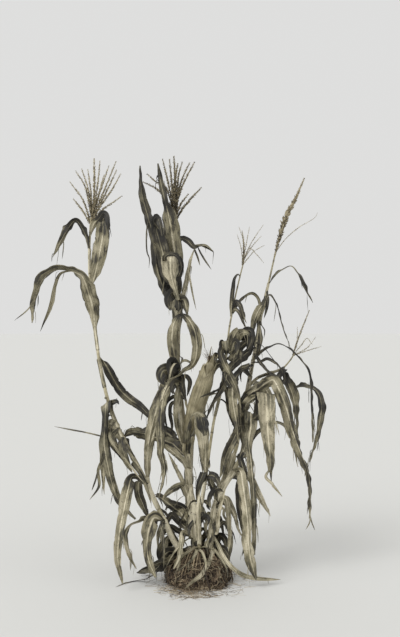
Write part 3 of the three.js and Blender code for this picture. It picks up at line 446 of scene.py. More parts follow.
        "way": [[21, 497, -84, 0], [13, 570, -116, 0], [4, 631, -140, 0], [-2, 674, -162, 0],
            [4, 662, -182, 0], [14, 622, -190, -8], [22, 590, -192, -12]]},
    "tangle_arch_leaf": {"stem": "slim", "foot": 985, "width": 50, "turn": 10, "crumple": 5 * mm,
        "crumpleSize": 22 * mm, "tone": [0.4, 0.42, 0.3, 0.2, 0.2, 0.05, 0.03, 0.04], "roll": 20,
        "crease": 24, "fold": 18, "bendRoom": 3, "outline": [0.6, 0.9, 1, 1, 0.95, 0.72, 0.62, 0.6, 0.2],
        "way": [[122, 968, -24, 0], [140, 988, -36, 0], [168, 1000, -46, 0], [196, 998, -54, 0],
            [209, 986, -62, 0], [205, 962, -66, 0], [193, 935, -68, 0]]},
    "tangle_cross_leaf": {"stem": "right", "foot": 952, "width": 38, "turn": 40,
        "tone": [0.05, 0.06, 0.35, 0.2, 0.12], "outline": [0.7, 1, 1, 0.9, 0.8, 0.6, 0.45, 0.3, 0.1],
        "crumple": 3.5 * mm, "way": [[187, 924, -28, 20], [147, 891, -54, 10], [114, 851, -74, 10],
            [94, 794, -82, 20], [56, 729, -86, 15], [24, 655, -88, 10]]},
    "tangle_hanging_leaf": {"stem": "right", "foot": 836, "width": 36, "turn": 30,
        "tone": [0.05, 0.04, 0.3, 0.48, 0.42, 0.4], "way": [[176, 852, -44, 40], [148, 830, -86, 20],
            [132, 773, -112, 0], [138, 700, -122, 0], [151, 631, -124, 10], [155, 568, -122, 10]]},
    "tangle_dark_leaf": {"stem": "slim", "foot": 806, "width": 24, "turn": 10, "tone": [0.17, 0.21],
        "way": [[108, 776, 8, 10], [119, 724, 22, 0], [127, 672, 28, 0], [142, 616, 30, 0]]},
    "tangle_right_leaf": {"stem": "right", "foot": 742, "width": 25, "turn": 20, "tone": [0.36, 0.48],
        "way": [[167, 722, -30, 10], [165, 659, -44, 0], [171, 592, -48, 0], [178, 530, -48, 0]]},
    "right_top_leaf": {"stem": "right", "foot": 1214, "width": 22, "turn": 40,
        "tone": [0.15, 0.3, 0.3, 0.04, 0.2, 0.35], "outline": [1, 0.7, 0.45, 0.5, 0.7, 1, 0.9, 0.5, 0.15],
        "roll": 30, "way": [[322, 1255, 28, 60], [369, 1279, 12, 74], [394, 1256, 0, 66],
            [419, 1197, -10, 42], [459, 1130, -20, 38]]},
    "right_droop_leaf": {"stem": "right", "foot": 1052, "width": 13, "turn": 40, "tone": [0.35, 0.25, 0.3],
        "way": [[260, 1107, -8, 40], [272, 1150, -20, 60], [285, 1162, -30, 74], [309, 1127, -42, 64],
            [334, 1038, -52, 60], [367, 950, -56, 60]]},
    "right_arch_leaf": {"stem": "right", "foot": 904, "width": 22, "turn": 40,
        "tone": [0.3, 0.25, 0.2, 0.22, 0.06, 0.25, 0.3, 0.35],
        "outline": [0.9, 0.6, 0.5, 0.5, 0.65, 0.95, 1, 0.8, 0.3],
        "way": [[269, 940, -30, 60], [317, 963, -52, 74], [362, 944, -68, 72], [407, 900, -82, 64],
            [441, 850, -92, 52], [450, 773, -98, 46], [455, 672, -102, 46], [459, 562, -104, 50]]},
    "long_right_leaf": {"stem": "right", "foot": 706, "width": 58, "turn": 10,
        "tone": [0.4, 0.5, 0.42, 0.5, 0.55, 0.5, 0.42, 0.2, 0.35, 0.2, 0.45],
        "outline": [0.5, 0.72, 0.78, 0.8, 0.82, 0.8, 0.7, 0.5, 0.45, 0.35, 0.12], "roll": 25, "crease": 28,
        "bendRoom": 3, "way": [[195, 753, -62, 0], [236, 779, -92, 0], [277, 808, -126, 0],
            [297, 816, -146, 0], [309, 802, -160, 0], [330, 757, -170, 0], [354, 692, -176, 5],
            [374, 619, -176, 20], [403, 533, -168, 36], [435, 458, -154, 46], [448, 379, -142, 40],
            [448, 252, -130, 30]], "strands": [[5, [[449, 262, -131, 20], [446, 238, -130, 20],
            [430, 206, -130, 20]]], [5, [[449, 262, -131, 20], [455, 238, -130, 20], [468, 204, -130, 20]]]]},
    "big_pale_leaf": {"stem": "right", "foot": 640, "width": 72, "turn": 20, "roll": 20, "fold": 10,
        "twist": 3, "bendRoom": 3, "tone": [0.3, 0.12, 0.15, 0.4, 0.62, 0.68, 0.62, 0.5, 0.55],
        "outline": [0.25, 0.35, 0.5, 0.8, 0.95, 0.97, 0.94, 0.88, 0.74, 0.6, 0.42, 0.25],
        "way": [[205, 652, -52, 10], [230, 668, -110, 0], [252, 704, -168, 0], [264, 746, -204, 0],
            [267, 762, -224, 0], [270, 742, -244, 0], [273, 651, -258, 0], [279, 570, -258, 0],
            [285, 497, -254, 10], [284, 440, -250, 20]], "strands": [[13, [[284, 452, -250, 20],
            [268, 422, -248, 30], [297, 391, -244, 40], [335, 341, -240, 40]]]]},
    "middle_pale_leaf": {"stem": "right", "foot": 622, "width": 52, "turn": 0, "taper": 0.35,
        "tone": [0.3, 0.5, 0.6, 0.45, 0.4, 0.5, 0.55],
        "outline": [0.8, 1, 1, 0.7, 0.5, 0.5, 0.45, 0.5, 0.4, 0.35, 0.2], "bendRoom": 2,
        "way": [[196, 672, -42, 0], [205, 684, -68, 0], [207, 631, -88, 0], [199, 558, -92, 30],
            [208, 480, -90, 30], [216, 387, -88, 10], [220, 277, -90, 0], [220, 183, -92, 0],
            [220, 104, -94, 0]]},
    "right_floor_leaf": {"stem": "right", "foot": 448, "width": 42, "turn": 0, "taper": 0.8,
        "tone": [0.52, 0.6, 0.68, 0.6], "way": [[163, 448, -72, 0], [175, 387, -104, 0], [186, 313, -120, 0],
            [195, 236, -126, 20], [198, 159, -130, 25], [206, 90, -132, 10], [229, 0, -134, 0]]},
    "right_dark_leaf": {"stem": "right", "foot": 425, "width": 32, "turn": 20, "tone": [0.21, 0.29, 0.21],
        "way": [[155, 415, -6, 20], [159, 358, 8, 10], [163, 293, 14, 10], [175, 224, 16, 10],
            [186, 159, 14, 20], [171, 98, 12, 20]]},
    "low_fork_leaf": {"stem": "right", "foot": 300, "width": 27, "turn": 50, "tone": [0.44, 0.56],
        "way": [[84, 329, -62, 56], [104, 334, -76, 64], [113, 293, -86, 30], [116, 230, -92, 10],
            [118, 166, -100, 10], [116, 118, -110, 10]]},
    "far_right_leaf": {"stem": "leaning", "foot": 848, "width": 27, "turn": 60,
        "tone": [0.2, 0.15, 0.2, 0.1, 0.35, 0.45, 0.4], "way": [[340, 802, 52, 66], [370, 786, 56, 72],
            [419, 788, 44, 76], [461, 782, 20, 66], [484, 757, 2, 30], [494, 708, -8, 10],
            [484, 631, -14, 20], [462, 545, -18, 40], [440, 462, -20, 50]]},
    "leaning_droop_leaf": {"stem": "leaning", "foot": 866, "width": 38, "turn": 0,
        "tone": [0.04, 0.06, 0.35, 0.5, 0.45, 0.3], "outline": [0.5, 0.7, 1, 1, 0.8, 0.5, 0.2],
        "way": [[350, 828, -26, 0], [362, 796, -52, 10], [378, 752, -68, 20], [389, 700, -76, 40],
            [392, 640, -78, 50], [396, 577, -78, 50]]},
    "right_back_leaf": {"stem": "leaning", "foot": 512, "width": 21, "turn": 50, "tone": [0.25, 0.29, 0.4],
        "way": [[170, 500, 72, 50], [200, 524, 82, 50], [211, 572, 84, 50], [252, 613, 80, 62],
            [305, 643, 72, 70], [342, 631, 62, 60], [370, 578, 54, 46], [387, 521, 48, 40],
            [399, 462, 44, 40]]},
    "low_fork_second_leaf": {"stem": "leaning", "foot": 300, "width": 23, "turn": 60, "tone": [0.4, 0.52],
        "way": [[90, 330, 26, 66], [110, 334, 4, 70], [129, 303, -16, 50], [143, 252, -30, 40],
            [158, 199, -42, 40], [176, 172, -54, 40]]},
    "pale_back_leaf": {"stem": "leaning", "foot": 440, "width": 33, "turn": 10, "tone": [0.6, 0.71],
        "way": [[160, 438, 84, 10], [204, 418, 118, 10], [232, 362, 138, 10], [287, 262, 150, 10]]},
    "rear_hanging_leaf": {"stem": "rear", "foot": 585, "width": 42, "turn": 0, "tone": [0.44, 0.52, 0.44],
        "way": [[-32, 650, 250, 0], [-34, 664, 310, 0], [-42, 600, 372, 0], [-46, 470, 404, 0],
            [-48, 330, 410, 0], [-44, 205, 404, 10]]},
    "rear_arching_leaf": {"stem": "rear", "foot": 716, "width": 44, "turn": 20, "tone": [0.36, 0.44, 0.52],
        "way": [[18, 784, 268, 10], [16, 850, 336, 0], [22, 836, 396, 0], [8, 740, 430, 0], [2, 640, 440, 0],
            [6, 540, 434, 0], [12, 430, 424, 0]]},
    "rear_left_leaf": {"stem": "short", "foot": 462, "width": 40, "turn": 0, "tone": [0.4, 0.48, 0.44],
        "way": [[-206, 545, 92, 0], [-190, 622, 152, 0], [-172, 668, 216, 0], [-168, 640, 268, 0],
            [-172, 570, 300, 0]]},
    "rear_top_leaf": {"stem": "middle", "foot": 1010, "width": 34, "turn": 0, "tone": [0.36, 0.44, 0.52],
        "way": [[-86, 1090, 56, 0], [-92, 1160, 112, 0], [-98, 1172, 172, 0], [-102, 1112, 222, 0],
            [-106, 1010, 236, 0]]},
    "rear_right_leaf": {"stem": "leaning", "foot": 806, "width": 38, "turn": 20, "tone": [0.36, 0.48, 0.44],
        "way": [[238, 796, 108, 20], [272, 770, 168, 10], [288, 690, 222, 0], [288, 590, 254, 0],
            [288, 470, 258, 0], [290, 400, 252, 0]]},
    "rear_low_leaf": {"stem": "left", "foot": 505, "width": 36, "turn": 20, "tone": [0.44, 0.52],
        "way": [[-318, 590, 10, 20], [-350, 636, 70, 20], [-384, 604, 132, 20], [-394, 480, 172, 10],
            [-390, 350, 182, 0]]},
}
# Smaller leaves and strips: foot, width, turn, crumple, tones and way. Their tones, as above, hold painted
# shade and painted light besides the leaves' own colour.
smallLeaves = {
    "left": {
        "left_curl_leaf": (606, 27, 20, 5, [0.4, 0.4], [[-346, 607, -28], [-364, 580, -20], [-352, 548, -16],
            [-326, 515, -14], [-297, 470, -14]]),
        "left_limb_leaf": (415, 36, 0, 2, [0.45, 0.35, 0.4, 0.25], [[-250, 396, -22], [-248, 350, -10],
            [-228, 300, -2], [-208, 250, 0]]),
        "left_crumpled_leaf": (625, 40, 10, 5, [0.35, 0.5, 0.3], [[-342, 619, -76], [-362, 598, -86],
            [-354, 566, -90], [-330, 541, -88]]),
        "left_pale_strip": (655, 11, 20, 2, [0.5, 0.65],
            [[-366, 578, -118], [-338, 533, -124], [-297, 484, -126], [-256, 431, -124], [-232, 399, -120]]),
        "left_side_strip": (560, 10, 20, 2, [0.4, 0.6],
            [[-297, 541, -108], [-269, 492, -112], [-236, 448, -112]]),
        "left_low_strip": (470, 16, 10, 2, [0.3, 0.45], [[-277, 480, -84], [-240, 431, -92], [-216, 374, -96],
            [-199, 313, -98]]),
        "low_stake_leaf": (236, 11, 0, 2, [0.4, 0.5, 0.3],
            [[-159, 228, -70], [-151, 187, -90], [-147, 126, -94], [-147, 49, -94]]),
        "left_flag_fold": (1410, 27, 0, 4, [0.5, 0.55, 0.3, 0.08, 0.1, 0.35], [[-432, 1450, -26],
            [-411, 1472, -50], [-394, 1494, -66], [-382, 1486, -76], [-375, 1450, -80], [-373, 1410, -78]]),
        "left_flap_leaf": (722, 22, 10, 2, [0.4, 0.35, 0.08],
            [[-379, 720, -72], [-358, 724, -90], [-338, 729, -96], [-330, 716, -96]]),
    },
    "middle": {
        "low_arch_leaf": (330, 31, 10, 5, [0.35, 0.5, 0.4, 0.5], [[-73, 385, -60], [-99, 378, -72],
            [-128, 358, -80], [-153, 328, -84]]),
        "crown_flap_leaf": (1146, 28, 0, 3, [0.08, 0.03, 0.04, 0.1], [[-90, 1148, -48], [-88, 1134, -88],
            [-88, 1112, -94], [-86, 1090, -90]]),
        "cross_dark_leaf": (580, 50, 10, 5, [0.25, 0.12, 0.3, 0.1], [[-98, 570, 24], [-130, 598, 32],
            [-163, 610, 36], [-191, 594, 38], [-208, 562, 38]]),
        "cross_pale_leaf": (462, 27, 10, 3, [0.5, 0.65, 0.3],
            [[-69, 484, -46], [-94, 509, -62], [-122, 533, -70], [-151, 549, -74], [-175, 533, -76]]),
        "front_strip_leaf": (292, 18, 10, 2, [0.45, 0.6, 0.5],
            [[-53, 358, -48], [-77, 415, -64], [-106, 472, -72], [-130, 521, -74]]),
        "fold_dark_leaf": (812, 58, 0, 5, [0.2, 0.05, 0.3, 0.1], [[-106, 822, -64], [-130, 855, -88],
            [-151, 851, -104], [-159, 822, -112], [-142, 794, -114]]),
        "fold_upper_leaf": (846, 44, 0, 5, [0.15, 0.03, 0.1],
            [[-98, 847, -58], [-106, 879, -74], [-118, 891, -92], [-122, 867, -104], [-122, 826, -108]]),
        "fold_lower_leaf": (785, 34, 0, 4, [0.1, 0.04, 0.15],
            [[-98, 806, -70], [-110, 794, -96], [-114, 773, -104], [-102, 757, -106]]),
        "pale_strand_leaf": (866, 8, 20, 2, [0.7, 0.8, 0.75], [[-102, 883, -98], [-114, 867, -120],
            [-130, 810, -126], [-151, 761, -128], [-163, 712, -128], [-183, 619, -126], [-212, 521, -120]]),
        "hanging_dark_leaf": (838, 24, 0, 3, [0.1, 0.04, 0.1],
            [[-73, 826, -36], [-73, 798, -48], [-65, 765, -50], [-57, 737, -50]]),
        "hanging_second_leaf": (845, 18, 10, 3, [0.25, 0.05],
            [[-53, 830, -26], [-41, 810, -34], [-45, 781, -36], [-53, 749, -36]]),
        "small_arch_leaf": (862, 17, 60, 2, [0.5, 0.3, 0.15],
            [[-77, 887, -14], [-61, 895, -20], [-41, 887, -26], [-28, 867, -28]]),
        "side_strip_leaf": (800, 22, 5, 2, [0.45, 0.6, 0.45],
            [[-85, 790, -34], [-94, 749, -50], [-98, 684, -56], [-90, 610, -52], [-69, 541, -46]]),
        "stem_strip_leaf": (768, 15, 5, 2, [0.6, 0.75, 0.6],
            [[-73, 757, -24], [-77, 692, -40], [-73, 610, -44], [-61, 529, -40], [-49, 476, -36]]),
        "black_strip_leaf": (742, 15, 5, 2, [0.15, 0.04], [[-98, 733, 14], [-118, 716, 20], [-122, 680, 22],
            [-114, 631, 22], [-118, 590, 22]]),
        "black_second_strip": (756, 16, 5, 2, [0.15, 0.04],
            [[-106, 749, 34], [-134, 729, 42], [-147, 696, 44], [-142, 651, 44], [-130, 615, 44]]),
        "ear_low_leaf": (520, 22, 0, 2, [0.2, 0.3, 0.15], [[-49, 554, -60], [-49, 594, -96], [-41, 635, -108],
            [-37, 667, -112]]),
        "low_black_leaf": (176, 24, 10, 6, [0.6, 0.08, 0.04, 0.15], [[-64, 188, 10], [-92, 204, 6],
            [-120, 222, 2], [-144, 208, 0]]),
        "low_strip_leaf": (176, 20, 0, 2, [0.6, 0.7, 0.6, 0.65], [[-68, 198, -50], [-75, 172, -82],
            [-81, 124, -106], [-90, 82, -124], [-106, 46, -136]]),
        "low_leaning_strip": (176, 12, 25, 2, [0.5, 0.6],
            [[-57, 163, -70], [-90, 130, -104], [-114, 98, -126], [-134, 61, -136]]),
        "crown_crest_leaf": (1196, 19, 0, 2, [0.1, 0.03, 0.02, 0.1, 0.15],
            [[-138, 1286, -120], [-142, 1319, -178], [-122, 1329, -186], [-98, 1323, -188], [-79, 1294, -186],
            [-75, 1258, -180]]),
        "crown_band_leaf": (1225, 24, 0, 2, [0.1, 0.04, 0.03, 0.08, 0.2],
            [[-82, 1252, -120], [-77, 1288, -152], [-84, 1312, -168], [-102, 1324, -174],
            [-126, 1318, -174]]),
        "crown_dome_leaf": (1318, 24, 0, 2, [0.1, 0.02, 0.02, 0.05], [[-171, 1433, -90], [-189, 1465, -116],
            [-177, 1479, -122], [-163, 1469, -124], [-159, 1441, -124]]),
        "crown_knot_leaf": (1130, 24, 0, 4, [0.3, 0.7, 0.68, 0.5], [[-106, 1140, -56], [-111, 1126, -76],
            [-114, 1108, -82], [-109, 1092, -80]]),
        "crown_black_knot": (1150, 36, 0, 6, [0.15, 0.3, 0.05, 0.2, 0.08], [[-114, 1172, -46],
            [-128, 1152, -62], [-130, 1124, -68], [-120, 1098, -66]]),
        "crown_loop_leaf": (1104, 38, 0, 4, [0.06, 0.04, 0.12, 0.42, 0.46, 0.3], [[-84, 1120, -46],
            [-80, 1140, -64], [-71, 1145, -78], [-62, 1132, -88], [-56, 1104, -88], [-52, 1078, -84]]),
        "ball_pale_strip": (140, 13, 25, 2, [0.5, 0.6, 0.5],
            [[-16, 114, -90], [-37, 81, -126], [-69, 53, -146], [-106, 33, -156]]),
        "low_pale_sheath": (118, 44, 0, 2, [0.75, 0.86, 0.88, 0.84, 0.75], [[-12, 146, -34], [-19, 200, -44],
            [-27, 262, -50], [-36, 330, -50], [-43, 400, -46]]),
        "low_left_crumple": (240, 28, 10, 8, [0.7, 0.25, 0.06, 0.3, 0.1], [[-52, 262, 10], [-66, 294, 6],
            [-92, 308, 2], [-126, 306, -2], [-142, 286, -4]]),
        "low_second_crumple": (206, 28, 0, 8, [0.6, 0.1, 0.04, 0.1], [[-66, 222, 8], [-92, 246, 4],
            [-114, 268, 0], [-130, 246, -4], [-137, 206, -6]]),
    },
    "slim": {
        "ear_back_leaf": (848, 30, 15, 2, [0.17, 0.29],
            [[81, 884, -4], [58, 868, 6], [34, 822, 12], [12, 770, 16]]),
        "tangle_thin_leaf": (768, 12, 20, 2, [0.6, 0.6], [[45, 755, 0], [2, 737, 10]]),
        "slim_droop_leaf": (1098, 20, 30, 2, [0.05, 0.04, 0.15, 0.4], [[148, 1134, -30], [163, 1120, -42],
            [175, 1083, -48], [189, 1046, -48]]),
        "slim_upright_leaf": (1078, 17, 10, 2, [0.5, 0.3, 0.1, 0.08, 0.1], [[129, 1140, -8], [134, 1190, -6],
            [142, 1232, -4], [155, 1246, -4], [165, 1232, -6]]),
        "slim_dark_leaf": (418, 22, 15, 2, [0.19, 0.19], [[4, 402, -82], [-8, 366, -92], [-12, 314, -94]]),
        "funnel_crown_leaf": (452, 22, 10, 3, [0.5, 0.6, 0.68, 0.62, 0.45], [[22, 520, -100], [24, 620, -156],
            [10, 668, -184], [-12, 682, -200], [-32, 672, -206], [-44, 648, -206]]),
        "ear_cross_leaf": (812, 12, 50, 2, [0.2, 0.08, 0.1], [[77, 781, -60], [53, 769, -92], [24, 757, -118],
            [0, 745, -130]]),
        "ear_tangle_leaf": (892, 18, 5, 6, [0.1, 0.06, 0.25, 0.1], [[90, 895, -30], [74, 914, -48],
            [60, 920, -62], [62, 904, -74], [70, 884, -78]]),
        "tangle_middle_leaf": (968, 28, 5, 4, [0.35, 0.15, 0.45, 0.25, 0.45], [[98, 956, -46], [85, 928, -66],
            [98, 887, -78], [122, 838, -84], [151, 769, -84], [167, 700, -80]]),
        "tangle_low_leaf": (842, 24, 5, 3, [0.25, 0.1, 0.3],
            [[98, 851, -40], [106, 822, -56], [126, 790, -62], [138, 745, -62], [142, 696, -60]]),
        "low_curl_leaf": (410, 26, 10, 5, [0.1, 0.04, 0.04, 0.1, 0.25], [[16, 428, -72], [15, 440, -88],
            [8, 424, -102], [-3, 396, -106], [-12, 366, -104], [-16, 344, -98]]),
        "low_second_curl": (432, 30, 10, 5, [0.2, 0.08, 0.3], [[28, 427, -76], [53, 427, -92], [73, 403, -98],
            [77, 374, -98]]),
        "low_front_leaf": (240, 16, 5, 5, [0.4, 0.08, 0.1, 0.3], [[14, 256, -90], [26, 264, -100],
            [36, 250, -106], [30, 222, -108]]),
        "slim_pale_leaf": (1090, 15, 20, 2, [0.25, 0.15, 0.4], [[145, 1104, -30], [160, 1090, -44],
            [177, 1052, -50], [191, 1020, -50]]),
        "ball_second_strip": (132, 10, 25, 2, [0.6, 0.5], [[12, 110, -100], [24, 69, -134], [20, 33, -152]]),
        "tangle_peak_leaf": (930, 18, 0, 3, [0.3, 0.12, 0.05, 0.03, 0.06], [[100, 944, -50], [92, 966, -72],
            [85, 974, -88], [82, 958, -96], [81, 936, -96]]),
        "tangle_facet_leaf": (925, 31, 0, 4, [0.3, 0.4, 0.42, 0.36, 0.3], [[108, 940, -58], [104, 962, -76],
            [102, 976, -88], [104, 960, -96], [109, 930, -98]]),
        "tangle_flap_leaf": (930, 34, 0, 6, [0.3, 0.5, 0.55, 0.2, 0.5], [[128, 934, -60], [134, 954, -78],
            [142, 972, -88], [150, 966, -98], [150, 918, -102]]),
        "tangle_panel_leaf": (940, 46, 0, 3, [0.3, 0.46, 0.5, 0.42, 0.3], [[126, 952, -62], [134, 982, -84],
            [146, 1012, -94], [152, 1022, -98], [150, 1006, -104]]),
        "tangle_second_panel": (952, 40, 0, 3, [0.2, 0.3, 0.42, 0.36, 0.4, 0.1], [[140, 974, -66],
            [160, 1002, -92], [178, 1010, -100], [194, 1004, -104], [202, 990, -104]]),
        "tangle_black_leaf": (958, 30, 0, 2, [0.1, 0.03, 0.03, 0.03, 0.05],
            [[160, 990, -56], [190, 1018, -72], [208, 1012, -84], [210, 976, -92], [192, 936, -92]]),
        "tangle_wedge_leaf": (905, 28, 0, 6, [0.2, 0.45, 0.1, 0.35, 0.1], [[132, 908, -60], [148, 928, -76],
            [161, 938, -88], [168, 924, -94], [163, 896, -94]]),
        "low_pale_culm": (150, 17, 10, 1, [0.8, 0.85, 0.75], [[-6, 190, -84], [-8, 244, -98], [-7, 313, -100],
            [-2, 374, -96]]),
    },
    "right": {
        "tangle_stub_leaf": (864, 10, 20, 2, [0.1, 0.1], [[176, 860, 36], [165, 838, 46], [168, 806, 50]]),
        "right_loop_leaf": (1085, 18, 50, 2, [0.36, 0.29], [[237, 1146, 12], [213, 1168, 2], [180, 1153, -12],
            [142, 1102, -24]]),
        "low_crumpled_leaf": (330, 30, 30, 2, [0.29, 0.21], [[54, 374, -72], [42, 415, -88], [62, 428, -98],
            [82, 398, -104]]),
        "tangle_arm_leaf": (926, 17, 30, 2, [0.1, 0.03, 0.03, 0.03], [[232, 908, -62], [256, 871, -84],
            [289, 838, -96], [322, 818, -100], [346, 806, -98]]),
        "tangle_second_arm": (892, 15, 40, 2, [0.08, 0.05, 0.06], [[248, 891, -40], [273, 902, -52],
            [301, 889, -60], [330, 859, -66], [342, 830, -66]]),
        "tangle_thin_arm": (972, 5, 60, 2, [0.15, 0.15], [[260, 948, -20], [297, 899, -30], [334, 859, -36]]),
        "tangle_back_leaf": (972, 32, 20, 4, [0.2, 0.06, 0.15],
            [[199, 973, 34], [171, 956, 42], [151, 920, 44], [138, 879, 44]]),
        "tangle_side_leaf": (880, 20, 15, 4, [0.15, 0.3, 0.1],
            [[187, 871, -50], [167, 863, -66], [151, 838, -72], [155, 798, -74]]),
        "right_wrap_leaf": (1052, 20, 10, 2, [0.4, 0.3, 0.45], [[244, 1022, 16], [248, 985, 8], [240, 944, 6],
            [228, 904, 6]]),
        "right_hook_leaf": (1060, 8, 50, 2, [0.15, 0.15], [[252, 1038, 6], [263, 1018, 4], [260, 985, 4]]),
        # a dark strip laid in the shaded gap at the foot of the big pale leaf; its near-black tone is painted
        # shade
        "right_gusset_leaf": (758, 15, 0, 2, [0.1, 0.04], [[187, 761, -60], [171, 737, -74], [171, 704, -78],
            [175, 680, -78]]),
        "right_sheath_leaf": (612, 36, 5, 2, [0.4, 0.5, 0.3, 0.35], [[159, 615, -56], [134, 570, -68],
            [110, 521, -72], [94, 468, -72], [81, 415, -68]]),
        "right_inner_leaf": (525, 26, 5, 3, [0.25, 0.1, 0.2],
            [[163, 505, -52], [171, 472, -66], [183, 435, -70], [191, 399, -70]]),
        "right_crumple_leaf": (640, 26, 10, 4, [0.45, 0.3, 0.5],
            [[163, 635, -40], [147, 610, -54], [142, 578, -60], [159, 554, -60]]),
        "low_third_curl": (372, 22, 10, 4, [0.25, 0.1, 0.3], [[65, 374, -70], [49, 358, -84], [37, 326, -90],
            [45, 293, -90]]),
        "pale_side_leaf": (722, 24, 10, 3, [0.5, 0.52, 0.3, 0.06, 0.1, 0.22, 0.1], [[200, 736, -40],
            [216, 750, -110], [232, 757, -184], [236, 724, -224], [239, 684, -232], [237, 646, -232]]),
        "long_lower_leaf": (692, 36, 0, 2, [0.3, 0.52, 0.58, 0.45, 0.2], [[188, 718, -90], [212, 738, -150],
            [242, 757, -186], [264, 768, -192]]),
        "low_ragged_strip": (226, 18, 5, 3, [0.4, 0.25, 0.4],
            [[77, 220, -66], [98, 236, -84], [122, 195, -92], [126, 130, -94], [118, 81, -92]]),
        "right_black_wrap": (1158, 18, 10, 2, [0.1, 0.3, 0.04],
            [[265, 1148, 16], [254, 1119, 8], [242, 1079, 4], [232, 1030, 4]]),
        "right_pale_panel": (1130, 32, 10, 2, [0.3, 0.5, 0.4, 0.45], [[248, 1115, 6], [232, 1087, -4],
            [218, 1046, -8], [212, 985, -8]]),
        "right_thin_dark": (1180, 12, 10, 2, [0.06, 0.05],
            [[277, 1144, 20], [273, 1111, 16], [260, 1066, 14]]),
        "ball_third_strip": (138, 12, 25, 2, [0.5, 0.4, 0.5],
            [[65, 118, -80], [90, 85, -112], [110, 45, -128], [114, 12, -136]]),
        "low_right_sheath": (100, 30, 0, 2, [0.6, 0.7, 0.74, 0.65], [[38, 140, -52], [45, 190, -60],
            [52, 250, -66], [62, 322, -70]]),
        "low_second_culm": (210, 16, 10, 1, [0.7, 0.78, 0.65],
            [[69, 195, -90], [77, 260, -104], [90, 326, -108], [106, 383, -104]]),
    },
    "leaning": {
        "sheath_leaf": (522, 34, 0, 2, [0.52, 0.6], [[130, 498, 12], [110, 435, 2], [92, 385, 2]]),
        "dark_knot_leaf": (872, 24, 10, 4, [0.08, 0.03, 0.03, 0.06], [[334, 852, -36], [320, 826, -64],
            [332, 806, -84], [346, 818, -92], [342, 846, -94]]),
        "low_right_crumple": (140, 28, 10, 6, [0.5, 0.3, 0.12, 0.35], [[66, 152, 16], [80, 182, 2],
            [100, 168, -10], [109, 122, -16]]),
        "low_right_fold": (112, 26, 10, 7, [0.15, 0.3, 0.08], [[66, 118, 0], [92, 132, -26], [112, 108, -44],
            [119, 68, -50]]),
    },
    "short": {
        "low_edge_leaf": (150, 44, 10, 9, [0.2, 0.08, 0.35, 0.1, 0.25], [[-100, 152, 10], [-122, 158, 4],
            [-148, 140, -2], [-160, 104, -6], [-152, 62, -8]]),
        "low_dark_fold": (120, 44, 10, 9, [0.1, 0.04, 0.25, 0.08], [[-98, 112, -20], [-124, 118, -34],
            [-150, 98, -44], [-166, 62, -48]]),
        "low_grey_fold": (106, 32, 20, 8, [0.3, 0.2, 0.5, 0.3, 0.45], [[-118, 84, -50], [-156, 76, -76],
            [-192, 60, -90], [-216, 34, -92]]),
        "floor_dark_leaf": (100, 44, 20, 9, [0.12, 0.3, 0.1, 0.3, 0.12], [[-118, 80, 20], [-163, 56, 46],
            [-195, 54, 60], [-226, 44, 64], [-258, 32, 62]]),
        "floor_thin_leaf": (100, 16, 70, 5, [0.4, 0.2, 0.35],
            [[-163, 41, -60], [-212, 8, -40], [-256, 0, -10], [-301, -12, -40], [-342, -33, -90]]),
    },
}
for stemName, rows in smallLeaves.items():
    for name, (foot, width, turn, crumple, tones, way) in rows.items():
        leaves[name] = {
            "stem": stemName, "foot": foot, "width": width, "turn": turn, "crumple": crumple * mm,
            "tone": tones, "way": [[*point, turn] for point in way], "small": True, "bendRoom": 1.5,
        }

blade = {
    "rowStep": 5.5 * mm,
    "columns": 20, "narrow": 30 * mm, "narrowColumns": 14, "strip": 12 * mm, "stripColumns": 6,
    "thickness": 0.6 * mm,
    "ground": 1 * mm,  # a blade that reaches the floor lies this far above it
    "fold": 24, "foldChange": 0.9, "foldLength": 130 * mm,  # fold in degrees, of each half from the midrib
    "crease": 34, "creaseLength": 105 * mm,  # crease in degrees, lengthwise
    "roll": 62, "rollLength": 150 * mm,  # roll in degrees, of the margins inwards
    "curlLimit": 150, "leastWidth": 0.62,  # degrees that a margin may turn, and the width that is left then
    "wave": 3 * mm, "waveLength": 64 * mm,
    "crumple": 1.5 * mm, "crumpleSize": 26 * mm,
    "ribHeight": 1.9 * mm, "ribWidth": 2.4 * mm,
    "tears": 11, "tearDepth": 0.34, "tearSpan": 11 * mm,  # tears are counted per metre of margin
    "shreds": 5, "shredsPer": 450 * mm,  # so many on a blade of that length
    "shredWidth": 3.4 * mm, "shredLength": 60 * mm, "shredFloor": 8 * mm,
    "twist": 13, "twistLength": 110 * mm,
    "bendRoom": 0.5,  # how far a margin may reach into a bend, per unit of the bend's radius
    "flatFrom": 7, "flatAt": 22,  # bends, in 1/metres, where the blade begins to flatten and is flat
    "taper": 0.5,  # share of the length from which it narrows to its tip
    "slim": 34 * mm,  # below this width its waves, rolls and rib shrink with it
    "clasp": 38 * mm, "claspShare": 0.4, "claspTurn": 1.5, "claspSlope": 7,  # how its foot wraps the stem
}


def bladeOutline(share, style):
    # the blade's width along it, as a share of its full width
    if "outline" in style:
        return max(along(style["outline"], share), 0.05)
    taper = style["taper"]
    collar = 0.5 + 0.5 * smooth(0, 0.2, share)
    drawn = 1 if share < taper else math.cos((share - taper) / (1 - taper) * math.pi / 2) ** 0.8
    return collar * max(drawn, 0.05)


